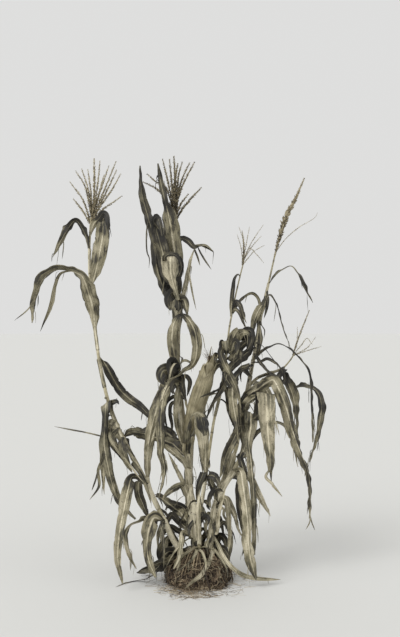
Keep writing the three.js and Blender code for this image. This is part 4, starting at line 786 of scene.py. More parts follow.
def easeBends(frames, halfAt, bendRoom):
    # a leaf bends only across its width, so each row is turned out of its blade's bends
    last, tiny = len(frames) - 1, 1e-6
    bends = []
    for i, row in enumerate(frames):
        before, after = frames[max(i - 3, 0)], frames[min(i + 3, last)]
        bend = (after["way"] - before["way"]) / max((after["point"] - before["point"]).length, tiny)
        bends.append(bend - row["way"] * bend.dot(row["way"]))
    for row, bend in zip(frames, bends):
        sharpest = max(bend.length, tiny)
        inward = bend / sharpest
        beside = row["way"].cross(inward)
        room = min(1, bendRoom / max(halfAt(row["share"]) * sharpest, tiny))
        reach = row["wide"].dot(inward)
        if abs(reach) > room:
            rest = math.sqrt(1 - room * room) * (-1 if row["wide"].dot(beside) < 0 else 1)
            row["wide"] = inward * math.copysign(room, reach) + beside * rest
            row["up"] = row["way"].cross(row["wide"])
    for i, row in enumerate(frames):
        # a blade lies flat where it bends sharply
        sharpest = max(bend.length for bend in bends[max(i - 4, 0):i + 5])
        row["flat"] = smooth(blade["flatFrom"], blade["flatAt"], sharpest)


def bladeSection(style, run, share, margin, seed, slim, torn, flat):
    # from the midrib to one margin, as (across, lift) for a half width of one
    steps = style["columns"] // 2
    calm = smooth(0, 0.1, share) * (1 - 0.92 * flat)
    side = Vector((0, 7 * margin, 0)) + seed
    opened = noise.noise(Vector((run / style["foldLength"], 0, 3)) + side)
    fold = style["fold"] * (1 + style["foldChange"] * 2 * opened * calm)
    fold *= 1 - 0.8 * flat
    curled = noise.noise(Vector((run / style["rollLength"], 0, 9)) + side)
    roll = style["roll"] * max(0, 0.1 + 2.2 * curled) * calm
    section, across, lift = [(0, 0)], 0, 0
    for step in range(1, steps + 1):
        at = (step - 0.5) / steps
        pressed = noise.noise(Vector((at * 2.4, run / style["creaseLength"], 0)) + side)
        crease = style["crease"] * 2 * pressed * calm
        angle = fold + crease * at ** 0.4 + roll * slim * smooth(0.5, 1, at) ** 1.5
        angle = math.radians(min(angle, style["curlLimit"]))
        stride = (1 - torn * smooth(0.4, 1, at)) / steps
        across += math.cos(angle) * stride
        lift += math.sin(angle) * stride
        section.append((across, lift))
    widest = max(max(a for a, _ in section), style["leastWidth"])
    return [(a / widest * (1 - torn * 0.6), b / widest) for a, b in section]


def claspSpot(clasp, first, row, away, margin):
    # where the foot of a blade lies round its stem
    centre, axis, radius = clasp
    out = first["point"] - centre
    out = (out - axis * out.dot(axis)).normalized()
    beside = axis.cross(out)
    if beside.dot(row["wide"]) < 0:
        beside = -beside
    angle = away * margin * blade["claspTurn"]
    wrap = centre + (out * math.cos(angle) + beside * math.sin(angle)) * radius
    return wrap + ((row["point"] - first["point"]) * 0.85 - axis * blade["claspSlope"] * mm * away)


def addBlade(whole, knots, turns, width, leaf, draw, clasp=None, toWorld=place, shreds=True):
    # one blade as a grid whose rows are laid along the way
    style = {**blade, **leaf}
    mesh, grain, finish = newMesh()
    if width < style["narrow"]:
        style["columns"] = style["narrowColumns"] if width > style["strip"] else style["stripColumns"]
    rough = framesAlong(knots, 12, turns, toWorld)[-1]["run"]
    rows = max(8, round(rough / style["rowStep"]))
    frames = framesAlong(knots, rows, turns, toWorld)
    easeBends(frames, lambda share: width / 2 * bladeOutline(share, style), style["bendRoom"])
    length = frames[-1]["run"]
    half = style["columns"] // 2
    pick = draw.random()
    seed = randomVector(draw, 0, 90)
    # its upper side is up, and faces back to the stem where the blade hangs
    early = frames[round(rows * 0.2)]
    reach = frames[-1]["point"] - frames[0]["point"]
    reach = Vector((reach.x, reach.y, 0)).normalized()
    side = -1 if early["up"].dot(Vector((0, 0, 1)) - reach) < 0 else 1
    slim = min(width / style["slim"], 1)
    phase, sections = {}, {}
    for margin in (-1, 1):
        tears = [
            (draw.uniform(0.12, 1), draw.uniform(0.2, 1) ** 2 * style["tearDepth"], draw.uniform(0.3, 1.4))
            for _ in range(round(style["tears"] * length * slim))
        ]
        phase[margin] = draw.uniform(0, fullTurn)
        for i, row in enumerate(frames):
            torn = max([0] + [depth * (1 - abs(row["share"] - spot) * length / (style["tearSpan"] * span))
                              for spot, depth, span in tears])
            sections[margin, i] = bladeSection(style, row["run"], row["share"], margin, seed, slim, torn,
                                               row["flat"])
    for vert in bmesh.ops.create_grid(mesh, x_segments=half * 2, y_segments=rows, size=1)["verts"]:
        i, share = gridSpot(vert, rows)
        row, column = frames[i], round(abs(vert.co.x) * half)
        margin = 1 if vert.co.x > 0 else -1
        away = column / half
        run = row["run"]
        reached = width / 2 * bladeOutline(share, style)
        across, lift = (value * reached for value in sections[margin, i][column])
        calm = smooth(0, 0.12, share) * (1 - 0.8 * row["flat"])
        lift += calm * style["wave"] * slim * away ** 2 * math.sin(
            run / style["waveLength"] * fullTurn * (1 + 0.2 * margin) + phase[margin]
            + 2 * noise.noise(Vector((run * 14, margin, 0)) + seed))
        lift += calm * style["crumple"] * slim * noise.noise(
            Vector((across * margin, run, 0)) / style["crumpleSize"] + seed)
        lift -= style["ribHeight"] * slim * (1 - 0.7 * share) * math.exp(
            -(across / style["ribWidth"] / slim) ** 2)
        wrung = noise.noise(Vector((run / style["twistLength"], 0, 0)) + seed)
        twist = math.radians(style["twist"]) * wrung * calm * 1.6
        wide = row["wide"] * math.cos(twist) + row["up"] * math.sin(twist)
        up = row["up"] * math.cos(twist) - row["wide"] * math.sin(twist)
        spot = row["point"] + wide * across * margin + up * side * lift
        if clasp:
            opening = smooth(0, min(style["clasp"] / length, style["claspShare"]), share)
            spot = spot.lerp(claspSpot(clasp, frames[0], row, away, margin), 1 - opening)
        vert.co = spot
        vert[grain] = (away * margin * reached, pick * 9, run + pick * 5)
        vert[finish] = (along(style["tone"], share), away, share, pick)
    joinTo(whole, mesh)
    if shreds:
        addShreds(whole, frames, width, style, slim, draw)


def addShreds(whole, frames, width, style, slim, draw):
    # thin strips torn from the margins hang down from them
    for _ in range(round(style["shreds"] * frames[-1]["run"] / style["shredsPer"] * slim)):
        start = draw.uniform(0.4, 0.97)
        row = frames[round(start * (len(frames) - 1))]
        margin = draw.choice((-1, 1))
        size = style["shredLength"] * draw.uniform(0.35, 1.2)
        edge = row["wide"] * margin * width / 2 * bladeOutline(start, style)
        first = row["point"] + edge * draw.uniform(0.4, 0.9)
        out = row["way"] * draw.uniform(0.2, 0.7) + row["wide"] * margin * draw.uniform(0.05, 0.4)
        drop = Vector((draw.uniform(-0.2, 0.2), draw.uniform(-0.2, 0.2), -1))
        way = [first, first + out * size * 0.4, first + out * size * 0.6 + drop * size * 0.35,
               first + out * size * 0.7 + drop * size * 0.85]
        if way[-1].z < style["shredFloor"]:
            continue
        strip = {"tone": along(style["tone"], start), "wave": 0.5 * mm, "twist": 60, "tears": 0,
                 "rowStep": 9 * mm}
        addBlade(whole, way, [draw.uniform(0, 90), draw.uniform(0, 90)],
                 style["shredWidth"] * draw.uniform(0.4, 1.3), strip, draw, toWorld=Vector, shreds=False)


sheath = {
    "length": 112, "slack": 1.3 * mm, "lowest": 95, "rows": 24, "columns": 20,
    "loose": (0.5, 2.4),  # millimetres that its mouth stands off the stem
    "ripple": 0.5 * mm, "hem": 0.6 * mm, "lip": 7,
    "pale": 0.34, "paleFrom": 640, "paleAt": 400,  # the lowest sheaths are the palest
}


def leafKnots(leaf):
    stem = stems[leaf["stem"]]
    way = bowed(leaf["way"], stem["bow"])
    centre, axis, radius, at = onStem(stem, leaf["foot"])
    i = max(range(len(stem["line"]) - 1), key=lambda n: -abs(stem["line"][n].y - leaf["foot"]))
    tangent = (stem["line"][i + 1] - stem["line"][i]).normalized()
    out = way[0] - at
    out = (out - tangent * out.dot(tangent)).normalized()
    foot = at + out * radius / mm * 0.95
    return [foot] + way, (centre, axis, radius + sheath["slack"])


def addLeaf(mesh, name, leaf):
    draw = random.Random(name)
    knots, clasp = leafKnots(leaf)
    turns = [leaf["turn"]] + [p[3] for p in leaf["way"]]
    addBlade(mesh, knots, turns, leaf["width"] * mm, leaf, draw, clasp)
    for width, way in leaf.get("strands", []):
        strand = {"tone": along(leaf["tone"], 0.8), "wave": 1 * mm, "tears": 4}
        addBlade(mesh, bowed(way, stems[leaf["stem"]]["bow"]), [p[3] for p in way], width * mm, strand,
                 draw, shreds=False)


# Tatters are strips of old sheaths and leaves that have withered on the stems, thickest near the ground.
tatters = {
    "kinds": [
        {"count": 11, "heights": (95, 330), "length": (45, 150), "width": (6, 26), "tone": (0.08, 0.6)},
        {"count": 6, "heights": (330, 950), "length": (40, 120), "width": (3, 12), "tone": (0.1, 0.6)},
    ],
    "belowTip": 60, "kink": 9 * mm, "ground": 14 * mm,
    "blade": {"crumple": 6 * mm, "crumpleSize": 17 * mm, "twist": 40, "tears": 16, "bendRoom": 1.5},
}


def addTatter(mesh, stem, kind, draw):
    # it curls out from the stem and droops
    height = draw.uniform(*kind["heights"])
    if height > stem["line"][-1].y - tatters["belowTip"]:
        return
    centre, axis, radius, _ = onStem(stem, height)
    out = levelWay(draw.uniform(0, 2 * math.pi))
    out = (out - axis * out.dot(axis)).normalized()
    beside = axis.cross(out)
    size = draw.uniform(*kind["length"]) * mm
    rise, sway, reach = draw.uniform(-0.3, 0.8), draw.uniform(-0.5, 0.5), draw.uniform(0.2, 0.7)
    way = []
    for n in range(6):
        t = n / 5
        spot = centre + out * (radius * 0.9 + size * reach * t ** 0.8) + axis * size * rise * t
        spot += beside * size * sway * t ** 2
        spot.z -= size * (0.6 + max(rise, 0)) * t ** 2.4
        spot += randomVector(draw, -1, 1) * tatters["kink"] * t
        spot.z = max(spot.z, tatters["ground"] * (1 + t))
        way.append(spot)
    style = {"tone": [draw.uniform(*kind["tone"]) for _ in range(4)], **tatters["blade"]}
    turn = draw.uniform(0, 180)
    addBlade(mesh, way, [turn, turn + draw.uniform(-60, 60)], draw.uniform(*kind["width"]) * mm, style, draw,
             toWorld=Vector, shreds=False)


def addSheath(whole, leaf, draw):
    # a leaf's sheath wraps its stem below the foot, its edges overlapping on the far side
    stem, rows = stems[leaf["stem"]], sheath["rows"]
    mesh, grain, finish = newMesh()
    reach = min(sheath["length"] * draw.uniform(0.8, 1.25), leaf["foot"] - sheath["lowest"])
    pick = draw.random()
    spots = [onStem(stem, leaf["foot"] - reach * (1 - i / rows)) for i in range(rows + 1)]
    out = place(leafKnots(leaf)[0][1]) - spots[-1][0]
    loose = draw.uniform(*sheath["loose"]) * mm
    pale = sheath["pale"] * smooth(sheath["paleFrom"], sheath["paleAt"], leaf["foot"])
    for vert in bmesh.ops.create_grid(mesh, x_segments=sheath["columns"], y_segments=rows, size=1)["verts"]:
        u = vert.co.x
        number, share = gridSpot(vert, rows)
        centre, axis, radius, _ = spots[number]
        facing = (out - axis * out.dot(axis)).normalized()
        beside = axis.cross(facing)
        angle = u * mixed(3.5, 2.5, smooth(0.55, 1, share))
        r = radius + sheath["slack"] * (0.6 + 0.4 * u) + loose * smooth(0.6, 1, share) * abs(u) ** 2
        r += sheath["ripple"] * noise.noise(Vector((u * 3, share * 6, pick * 40)))
        r -= sheath["hem"] * (1 - smooth(0, 0.06, share))
        vert.co = centre + (facing * math.cos(angle) + beside * math.sin(angle)) * r
        vert.co += axis * sheath["lip"] * mm * (0.15 - abs(u)) * smooth(0.85, 1, share)
        vert[grain] = (angle * radius + pick, pick * 9, share * reach * mm)
        vert[finish] = (mixed(0.5, 0.72, pick) + 0.1 * share + pale, abs(u), share, pick)
    joinTo(whole, mesh)


# materials
# Dried maize blade: papery and matt, veined lengthwise, with a paler midrib, dark lengthwise streaks that
# are partly its own streaking and partly painted shade of its folds, and brown specks where it has rotted.
bladeFinish = {
    "upper": [(0.0, "#14120d"), (0.28, "#302d22"), (0.5, "#69644f"), (0.74, "#989079"), (1.0, "#cbc3a9")],
    "under": [(0.0, "#191712"), (0.28, "#3a362b"), (0.5, "#777159"), (0.74, "#a29a82"), (1.0, "#cfc7ae")],
    "spot": "#1d1812",
    "veinSpacing": 2.4 * mm, "veins": 0.4,
    "streakSpacing": 8 * mm, "streaksAndFoldShade": 0.42,
    "blotchSize": 60 * mm, "blotches": 0.72,
    "patchWidth": 22 * mm, "patchLength": 80 * mm, "patches": 0.32,
    "patchFrom": 0.47, "patchAt": 0.6,
    "speckSize": 1 / 210, "specks": 0.75, "speckFrom": 0.6, "speckAt": 0.7,  # 4.8 mm
    "fineSize": 1 / 420, "fine": 0.35,  # 2.4 mm
    "rib": 0.32, "ribShare": 0.12, "ribLoss": 0.055, "ribEdge": 0.02,
    "veinDepth": 0.6 * mm, "relief": 0.9, "roughness": 0.66,
}


def newMaterial(name):
    # an empty material, the parts of its piece's tone attribute, and the piece's own space
    material = bpy.data.materials.new(name)
    material.use_nodes = True
    tree = material.node_tree
    tree.nodes.clear()
    finish = addNode(tree, "Attribute", {"attribute_name": "finish"})
    parts = addNode(tree, "SeparateColor", {}, {"Color": finish.outputs["Color"]})
    return material, tree, parts.outputs, addNode(tree, "TexCoord").outputs["Object"]


def addSurface(tree, roughness, colour, relief, depth, height):
    # the dull surface that all these materials end in
    bump = addNode(tree, "Bump", {"Strength": relief, "Distance": depth}, {"Height": height})
    shader = addNode(tree, "BsdfPrincipled", {"Roughness": roughness},
                     {"Base Color": colour, "Normal": bump.outputs["Normal"]})
    addNode(tree, "OutputMaterial", {}, {"Surface": shader.outputs["BSDF"]})


def addTones(tree, tone, patterns, middle):
    # each pattern varies the tone by its amount, and middle is taken off again
    for amount, pattern in patterns:
        tone = addNode(tree, "Math", {"operation": "MULTIPLY_ADD", 1: amount},
                       {0: pattern, 2: tone}).outputs[0]
    return addNode(tree, "Math", {"operation": "SUBTRACT", 1: middle}, {0: tone}).outputs[0]


def bladeMaterial(name, stops):
    style = bladeFinish
    material, tree, parts, space = newMaterial(name)
    grain = addNode(tree, "Attribute", {"attribute_name": "grain"}).outputs["Vector"]
    veinMap = addNode(tree, "Mapping", {"Scale": (1 / style["veinSpacing"], 1, 4)}, {"Vector": grain})
    veins = addNode(tree, "TexNoise", {"Scale": 1, "Detail": 2}, {"Vector": veinMap.outputs["Vector"]})
    # lengthwise streaks: partly the blade's own streaking, partly painted shade of its folds
    streakMap = addNode(tree, "Mapping", {"Scale": (1 / style["streakSpacing"], 1, 5)}, {"Vector": grain})
    streaksAndFoldShade = addNode(tree, "TexNoise", {"Scale": 1, "Detail": 3}, {"Vector": streakMap.outputs["Vector"]})
    blotches = addNode(tree, "TexNoise", {"Scale": 1 / style["blotchSize"], "Detail": 5, "Roughness": 0.6},
                       {"Vector": space})
    # tone plus veins, streaks and blotches picks the colour
    middle = (style["veins"] + style["streaksAndFoldShade"] + style["blotches"]) / 2 - style["patches"] * 0.3
    tone = addTones(tree, parts["Red"], (
        (style["veins"], veins.outputs["Fac"]), (style["streaksAndFoldShade"], streaksAndFoldShade.outputs["Fac"]),
        (style["blotches"], blotches.outputs["Fac"])), middle)
    # long dark patches where it wilted first
    patchMap = addNode(tree, "Mapping", {"Scale": (1 / style["patchWidth"], 1, 1 / style["patchLength"])},
                       {"Vector": grain})
    patches = addNode(tree, "TexNoise", {"Scale": 1, "Detail": 4, "Roughness": 0.62},
                      {"Vector": patchMap.outputs["Vector"]})
    patchEdge = addNode(tree, "MapRange", {"From Min": style["patchFrom"], "From Max": style["patchAt"],
                                           "To Max": style["patches"]}, {"Value": patches.outputs["Fac"]})
    tone = addNode(tree, "Math", {"operation": "SUBTRACT"}, {0: tone, 1: patchEdge.outputs[0]})
    # the midrib is a paler stripe that narrows towards the tip
    ribWidth = addNode(tree, "Math", {"operation": "MULTIPLY_ADD", 1: -style["ribLoss"],
                                      2: style["ribShare"]}, {0: parts["Blue"]})
    ribGap = addNode(tree, "Math", {"operation": "SUBTRACT"}, {0: ribWidth.outputs[0], 1: parts["Green"]})
    rib = addNode(tree, "MapRange", {"From Min": -style["ribEdge"], "From Max": style["ribEdge"],
                                     "To Max": style["rib"]}, {"Value": ribGap.outputs[0]})
    tone = addNode(tree, "Math", {"operation": "ADD"}, {0: rib.outputs[0], 1: tone.outputs[0]})
    colour = addNode(tree, "ValToRGB", {"stops": stops}, {"Fac": tone.outputs[0]})
    specks = addNode(tree, "TexNoise", {"Scale": 1 / style["speckSize"], "Detail": 3}, {"Vector": space})
    speckEdge = addNode(tree, "MapRange", {"From Min": style["speckFrom"], "From Max": style["speckAt"],
                                           "To Max": style["specks"]}, {"Value": specks.outputs["Fac"]})
    spotted = addNode(tree, "Mix", {"data_type": "RGBA", 7: linear(style["spot"])},
                      {0: speckEdge.outputs[0], 6: colour.outputs["Color"]})
    fine = addNode(tree, "TexNoise", {"Scale": 1 / style["fineSize"], "Detail": 2}, {"Vector": space})
    height = addNode(tree, "Math", {"operation": "MULTIPLY_ADD", 1: style["fine"]},
                     {0: fine.outputs["Fac"], 2: veins.outputs["Fac"]})
    addSurface(tree, style["roughness"], spotted.outputs[2], style["relief"], style["veinDepth"],
               height.outputs[0])
    return material


def stalkMaterial(name, settings):
    # fibres along the piece, stains over it and a darker ring at each joint
    material, tree, parts, space = newMaterial(name)
    grain = addNode(tree, "Attribute", {"attribute_name": "grain"}).outputs["Vector"]
    fibreMap = addNode(tree, "Mapping", {"Scale": (1 / settings["fibre"], 1 / settings["fibre"], 12)},
                       {"Vector": grain})
    fibres = addNode(tree, "TexNoise", {"Scale": 1, "Detail": 3}, {"Vector": fibreMap.outputs["Vector"]})
    stains = addNode(tree, "TexNoise", {"Scale": 1 / settings["stainSize"], "Detail": 5}, {"Vector": space})
    tone = addTones(tree, parts["Red"], (
        (settings["fibres"], fibres.outputs["Fac"]), (settings["stains"], stains.outputs["Fac"])),
        (settings["fibres"] + settings["stains"]) / 2)
    colour = addNode(tree, "ValToRGB", {"stops": settings["stops"]}, {"Fac": tone})
    jointFade = addNode(tree, "Math", {"operation": "MULTIPLY", 1: 0.75}, {0: parts["Green"]})
    ringed = addNode(tree, "Mix", {"data_type": "RGBA", 7: linear(settings["joint"])},
                     {0: jointFade.outputs[0], 6: colour.outputs["Color"]})
    addSurface(tree, settings["roughness"], ringed.outputs[2], 0.7, settings["depth"], fibres.outputs["Fac"])
    return material


driedBladeUpper = bladeMaterial("dried_blade_upper", bladeFinish["upper"])
driedBladeUnder = bladeMaterial("dried_blade_under", bladeFinish["under"])
# Dry stalk: smooth and slightly waxy, finely ribbed, straw coloured, browner at its joints and foot.
dryStalk = stalkMaterial("dry_stalk", {
    "stops": [(0.0, "#1d1911"), (0.3, "#5c553f"), (0.6, "#a49b7c"), (1.0, "#ded6ba")], "joint": "#241c12",
    "fibre": 1.8 * mm, "fibres": 0.7, "stainSize": 26 * mm, "stains": 0.8, "depth": 0.5 * mm,
    "roughness": 0.5,
})
# Dry tassel: chaffy, dull straw husks around tiny dark openings.
dryTassel = stalkMaterial("dry_tassel", {
    "stops": [(0.0, "#15120c"), (0.35, "#494130"), (0.65, "#8c8166"), (1.0, "#cdc4a6")], "joint": "#241c12",
    "fibre": 0.9 * mm, "fibres": 0.6, "stainSize": 9 * mm, "stains": 0.7, "depth": 0.3 * mm,
    "roughness": 0.75,
})
# Ear husk: layered dry leaves, creamy, ribbed lengthwise and satin where they are stretched over the ear.
dryHusk = stalkMaterial("dry_husk", {
    "stops": [(0.0, "#1f1b13"), (0.3, "#6a6249"), (0.6, "#a69d80"), (1.0, "#dcd4b9")], "joint": "#2c2318",
    "fibre": 2.2 * mm, "fibres": 0.6, "stainSize": 34 * mm, "stains": 0.45, "depth": 0.6 * mm,
    "roughness": 0.55,
})
# Withered silk: matted, dull brown hair.
witheredSilk = stalkMaterial("withered_silk", {
    "stops": [(0.0, "#0e0b08"), (0.4, "#33271a"), (0.7, "#7a6547"), (1.0, "#b5a27b")], "joint": "#241c12",
    "fibre": 0.5 * mm, "fibres": 0.5, "stainSize": 8 * mm, "stains": 0.6, "depth": 0.1 * mm, "roughness": 0.6,
})
# Roots: wiry and woody, from pale buff to nearly black with soil on them.
woodyRoot = stalkMaterial("woody_root", {
    "stops": [(0.0, "#110d09"), (0.35, "#44372a"), (0.65, "#8d7c62"), (1.0, "#cfc0a1")], "joint": "#1a130d",
    "fibre": 1.2 * mm, "fibres": 0.6, "stainSize": 12 * mm, "stains": 0.9, "depth": 0.4 * mm,
    "roughness": 0.85,
})
# Dry loam bound by roots: dull, crumbly, with pale grit, darker in its hollows and paler on its lumps as
# painted shade and light.
soilFinish = {
    "stops": [(0.0, "#0f0c09"), (0.4, "#3a2f24"), (0.7, "#756450"), (1.0, "#b09e82")],
    "crumbSize": 7 * mm, "crumbs": 1.1, "gritSize": 1.6 * mm, "grit": -0.25, "middle": 0.34,
    "depth": 2.2 * mm, "roughness": 0.95,
}
rootedSoil, tree, parts, space = newMaterial("rooted_soil")
crumbs = addNode(tree, "TexNoise", {"Scale": 1 / soilFinish["crumbSize"], "Detail": 6, "Roughness": 0.7},
                 {"Vector": space})
grit = addNode(tree, "TexVoronoi", {"Scale": 1 / soilFinish["gritSize"]}, {"Vector": space})
tone = addTones(tree, parts["Red"], (
    (soilFinish["crumbs"], crumbs.outputs["Fac"]), (soilFinish["grit"], grit.outputs["Distance"])),
    soilFinish["middle"])
colour = addNode(tree, "ValToRGB", {"stops": soilFinish["stops"]}, {"Fac": tone})
addSurface(tree, soilFinish["roughness"], colour.outputs["Color"], 1, soilFinish["depth"],
           crumbs.outputs["Fac"])
print("materials made")


# stalks with their joints, and the sheaths and blades that each bears
stalkMesh = newMesh()[0]
for number, stem in enumerate(stems.values()):
    knots = bowed(stem["way"], stem["bow"])
    rough = framesAlong(knots, 30)[-1]["run"]
    frames = framesAlong(knots, round(rough / stalk["rowStep"]))
    joints = [(stalk["firstJoint"] + stalk["joint"] * n * (0.8 + 0.03 * n)) * mm
              for n in range(stalk["joints"])]
    addTube(stalkMesh, frames, lambda share: stemRadius(stem, share) * stalk["core"], stalk["sides"],
            lambda share: along(stem["tone"], share), joints, number / len(stems))
newPiece("stalks", stalkMesh, [dryStalk], [name + "_stem" for name in stems])
print("stalks made")

for stemName, stem in stems.items():
    bladeMesh, sheathMesh = newMesh()[0], newMesh()[0]
    names = [name for name, leaf in leaves.items() if leaf["stem"] == stemName]
    for name in names:
        addLeaf(bladeMesh, name, leaves[name])
    draw = random.Random(stemName + " tatters")
    for kind in tatters["kinds"]:
        for _ in range(kind["count"]):
            addTatter(bladeMesh, stem, kind, draw)
    keepAbove(bladeMesh, blade["ground"])
    nodes = [name for name in names if not leaves[name].get("small")]
    piece = newPiece(stemName + "_blades", bladeMesh, [driedBladeUpper, driedBladeUnder], nodes)
    thicken(piece, blade["thickness"])
    for name in nodes:
        addSheath(sheathMesh, leaves[name], random.Random(name + "sheath"))
    piece = newPiece(stemName + "_sheaths", sheathMesh, [driedBladeUnder], [])
    thicken(piece, blade["thickness"])
print("leaves made")


# tassels: thin branches set with rows of spikelets, with more rows on the spike
tassels = {
    "left_tassel": {
        "stem": "left", "tone": 0.78, "size": 1.0, "branchSize": 0.85, "rows": 4,
        "spike": [[-435, 1518, 0], [-430, 1595, -4], [-431, 1713, -8]],
        "branches": [
            [0.03, [-476, 1547, 20], [-528, 1620, 36]], [0.12, [-468, 1604, -20], [-505, 1665, -44]],
            [0.16, [-456, 1595, 20], [-481, 1673, 44]], [0.02, [-480, 1508, -20], [-514, 1551, -40]],
            [0.1, [-425, 1551, -20], [-415, 1624, -34], [-407, 1705, -44]],
            [0.08, [-419, 1543, 14], [-395, 1616, 30], [-372, 1685, 44]],
            [0.06, [-411, 1538, -10], [-376, 1620, -20], [-343, 1703, -30]],
            [0.05, [-407, 1530, 20], [-370, 1604, 44], [-340, 1669, 60]],
            [0.04, [-403, 1526, -26], [-358, 1591, -50], [-324, 1652, -66]],
            [0.02, [-395, 1510, 10], [-354, 1538, 20], [-320, 1563, 26]],
            [0.12, [-444, 1579, 50], [-456, 1669, 84]], [0.1, [-415, 1563, 56], [-391, 1648, 96]],
        ],
    },
    "middle_tassel": {
        "stem": "middle", "tone": 0.62, "size": 1.05, "branchSize": 0.95, "rows": 4,
        "spike": [[-98, 1534, -4], [-100, 1612, -4], [-106, 1722, -6]],
        "branches": [
            [0.1, [-114, 1551, 20], [-128, 1612, 34], [-152, 1711, 50]],
            [0.14, [-110, 1563, -20], [-116, 1628, -36], [-124, 1711, -50]],
            [0.16, [-92, 1587, 30], [-88, 1644, 46], [-73, 1699, 60]],
            [0.12, [-88, 1579, -14], [-67, 1648, -30], [-43, 1697, -44]],
            [0.1, [-83, 1575, 16], [-57, 1636, 34], [-24, 1699, 50]],
            [0.06, [-77, 1534, -10], [-49, 1569, -20]],
            [0.02, [-73, 1510, 10], [-41, 1549, 20], [4, 1597, 28]],
            [0.1, [-144, 1604, 36], [-179, 1622, 50], [-213, 1652, 60]],
            [0.07, [-151, 1571, 30], [-191, 1602, 44], [-228, 1620, 52]],
            [0.2, [-102, 1595, 40], [-94, 1685, 70]], [0.18, [-106, 1604, -30], [-90, 1693, -64]],
            [0.04, [-126, 1526, -10], [-155, 1559, -20]],
        ],
    },
    "right_tassel": {
        "stem": "right", "tone": 0.74, "size": 1.42, "branchSize": 0.42, "rows": 2,
        "core": 4 * mm, "swell": [0.4, 0.68, 0.92, 1.1, 1.2, 1.2, 1.05, 0.85, 0.62, 0.45, 0.35],
        "spike": [[326, 1404, 54], [351, 1481, 58], [391, 1559, 62], [423, 1634, 66]],
        "branches": [
            [0.06, [350, 1392, 46], [403, 1437, 38], [467, 1477, 32], [478, 1496, 30]],
        ],
    },
    "slim_tassel": {
        "stem": "slim", "tone": 0.75, "size": 0.6, "branchSize": 0.5, "rows": 2,
        "spike": [[179, 1363, 30], [172, 1420, 34]],
        "branches": [
            [0.1, [167, 1355, 16], [151, 1408, 4]], [0.3, [175, 1384, 44], [159, 1437, 60]],
            [0.2, [189, 1372, 16], [201, 1437, 6]], [0.15, [208, 1372, 40], [256, 1445, 54]],
            [0.15, [212, 1359, 20], [248, 1400, 8]], [0.05, [220, 1339, 40], [260, 1363, 54]],
            [0.2, [204, 1351, 10], [228, 1329, 2], [258, 1294, -4]],
        ],
    },
    "leaning_tassel": {
        "stem": "leaning", "tone": 0.75, "size": 0.6, "branchSize": 0.5, "rows": 2,
        "spike": [[400, 985, -14], [444, 1097, -20]],
        "branches": [
            [0.05, [395, 977, -30], [396, 1030, -44]],
            [0.03, [415, 961, -10], [435, 985, -16], [456, 961, -20]],
            [0.03, [435, 946, -24], [470, 989, -34]], [0.02, [440, 936, 6], [492, 952, 20]],
        ],
    },
}
# size is a spikelet's size on the spike and branchSize on the branches; each is set in rows. swell is how
# the size changes from foot to tip, and core the radius of the spike's own stalk.
spikelet = {
    "length": 12 * mm, "width": 3.1 * mm, "gap": 6 * mm, "spread": 30, "spikeRows": 6,
    "swell": [1, 1, 0.98, 0.94, 0.86, 0.73, 0.55], "core": 1.5 * mm, "branchCore": 0.9 * mm,
    "fallen": 0.1, "turn": 1.4, "tones": 0.22, "footShade": 0.22, "taper": 0.6, "sides": 5, "rings": 4,
}


def addSpikelets(whole, frames, radius, draw, tone, rows, size, swell):
    # spikelets in rows along a branch, each leaning out from it
    mesh, grain, finish = newMesh()
    for station, row in enumerate(frames[1:]):
        for n in range(rows):
            if draw.random() < spikelet["fallen"]:
                continue
            angle = n / rows * 2 * math.pi + station * spikelet["turn"] + draw.uniform(-0.4, 0.4)
            out = row["face"] * math.cos(angle) + row["edge"] * math.sin(angle)
            spread = math.radians(spikelet["spread"] * draw.uniform(0.5, 1.7))
            lean = row["way"] * math.cos(spread) + out * math.sin(spread)
            beside = row["way"].cross(out)
            across = lean.cross(beside)
            grown = size * along(swell, row["share"])
            long = spikelet["length"] * grown * draw.uniform(0.75, 1.15)
            thick = spikelet["width"] * grown * draw.uniform(0.85, 1.2)
            base = row["point"] + out * 0.5 * radius * along(swell, row["share"])
            # painted shade towards the foot, where the branches crowd
            shade = tone + draw.uniform(-spikelet["tones"], spikelet["tones"])
            shade -= spikelet["footShade"] * (1 - row["share"]) ** 2
            pick = draw.random()
            for vert in bmesh.ops.create_uvsphere(mesh, u_segments=spikelet["sides"],
                                                  v_segments=spikelet["rings"], radius=1)["verts"]:
                up = (vert.co.z + 1) / 2
                x, y = vert.co.x * thick * (1.15 - 0.6 * up), vert.co.y * thick * (0.8 - 0.45 * up)
                vert[grain] = (x + pick, y, up * long)
                vert[finish] = (shade - 0.2 * up, 0, up, pick)
                vert.co = base + beside * x + across * y + lean * up * long
    joinTo(whole, mesh)


def addBranch(mesh, knots, radius, draw, tone, rows, size, swell):
    rough = framesAlong(knots, 20)[-1]["run"]
    frames = framesAlong(knots, max(5, round(rough / (spikelet["gap"] * size ** 0.5))))
    addTube(mesh, frames, tapered(radius, spikelet["taper"]), spikelet["sides"], lambda share: tone)
    addSpikelets(mesh, frames, radius, draw, tone, rows, size, swell)


for name, tassel in tassels.items():
    stem = stems[tassel["stem"]]
    draw = random.Random(name)
    tasselMesh = newMesh()[0]
    spike = [stem["line"][-6]] + bowed(tassel["spike"], stem["bow"])
    addBranch(tasselMesh, spike, tassel.get("core", spikelet["core"]), draw, tassel["tone"],
              spikelet["spikeRows"], tassel["size"], tassel.get("swell", spikelet["swell"]))
    spots = evenSpots(spike, 100)
    for share, *way in tassel["branches"]:
        knots = [curvePoint(spike, spots[round(share * 100)])] + bowed(way, stem["bow"])
        addBranch(tasselMesh, knots, spikelet["branchCore"], draw, tassel["tone"], tassel["rows"],
                  tassel["branchSize"], spikelet["swell"])
    newPiece(name + "_grown", tasselMesh, [dryTassel], [name])
print("tassels made")


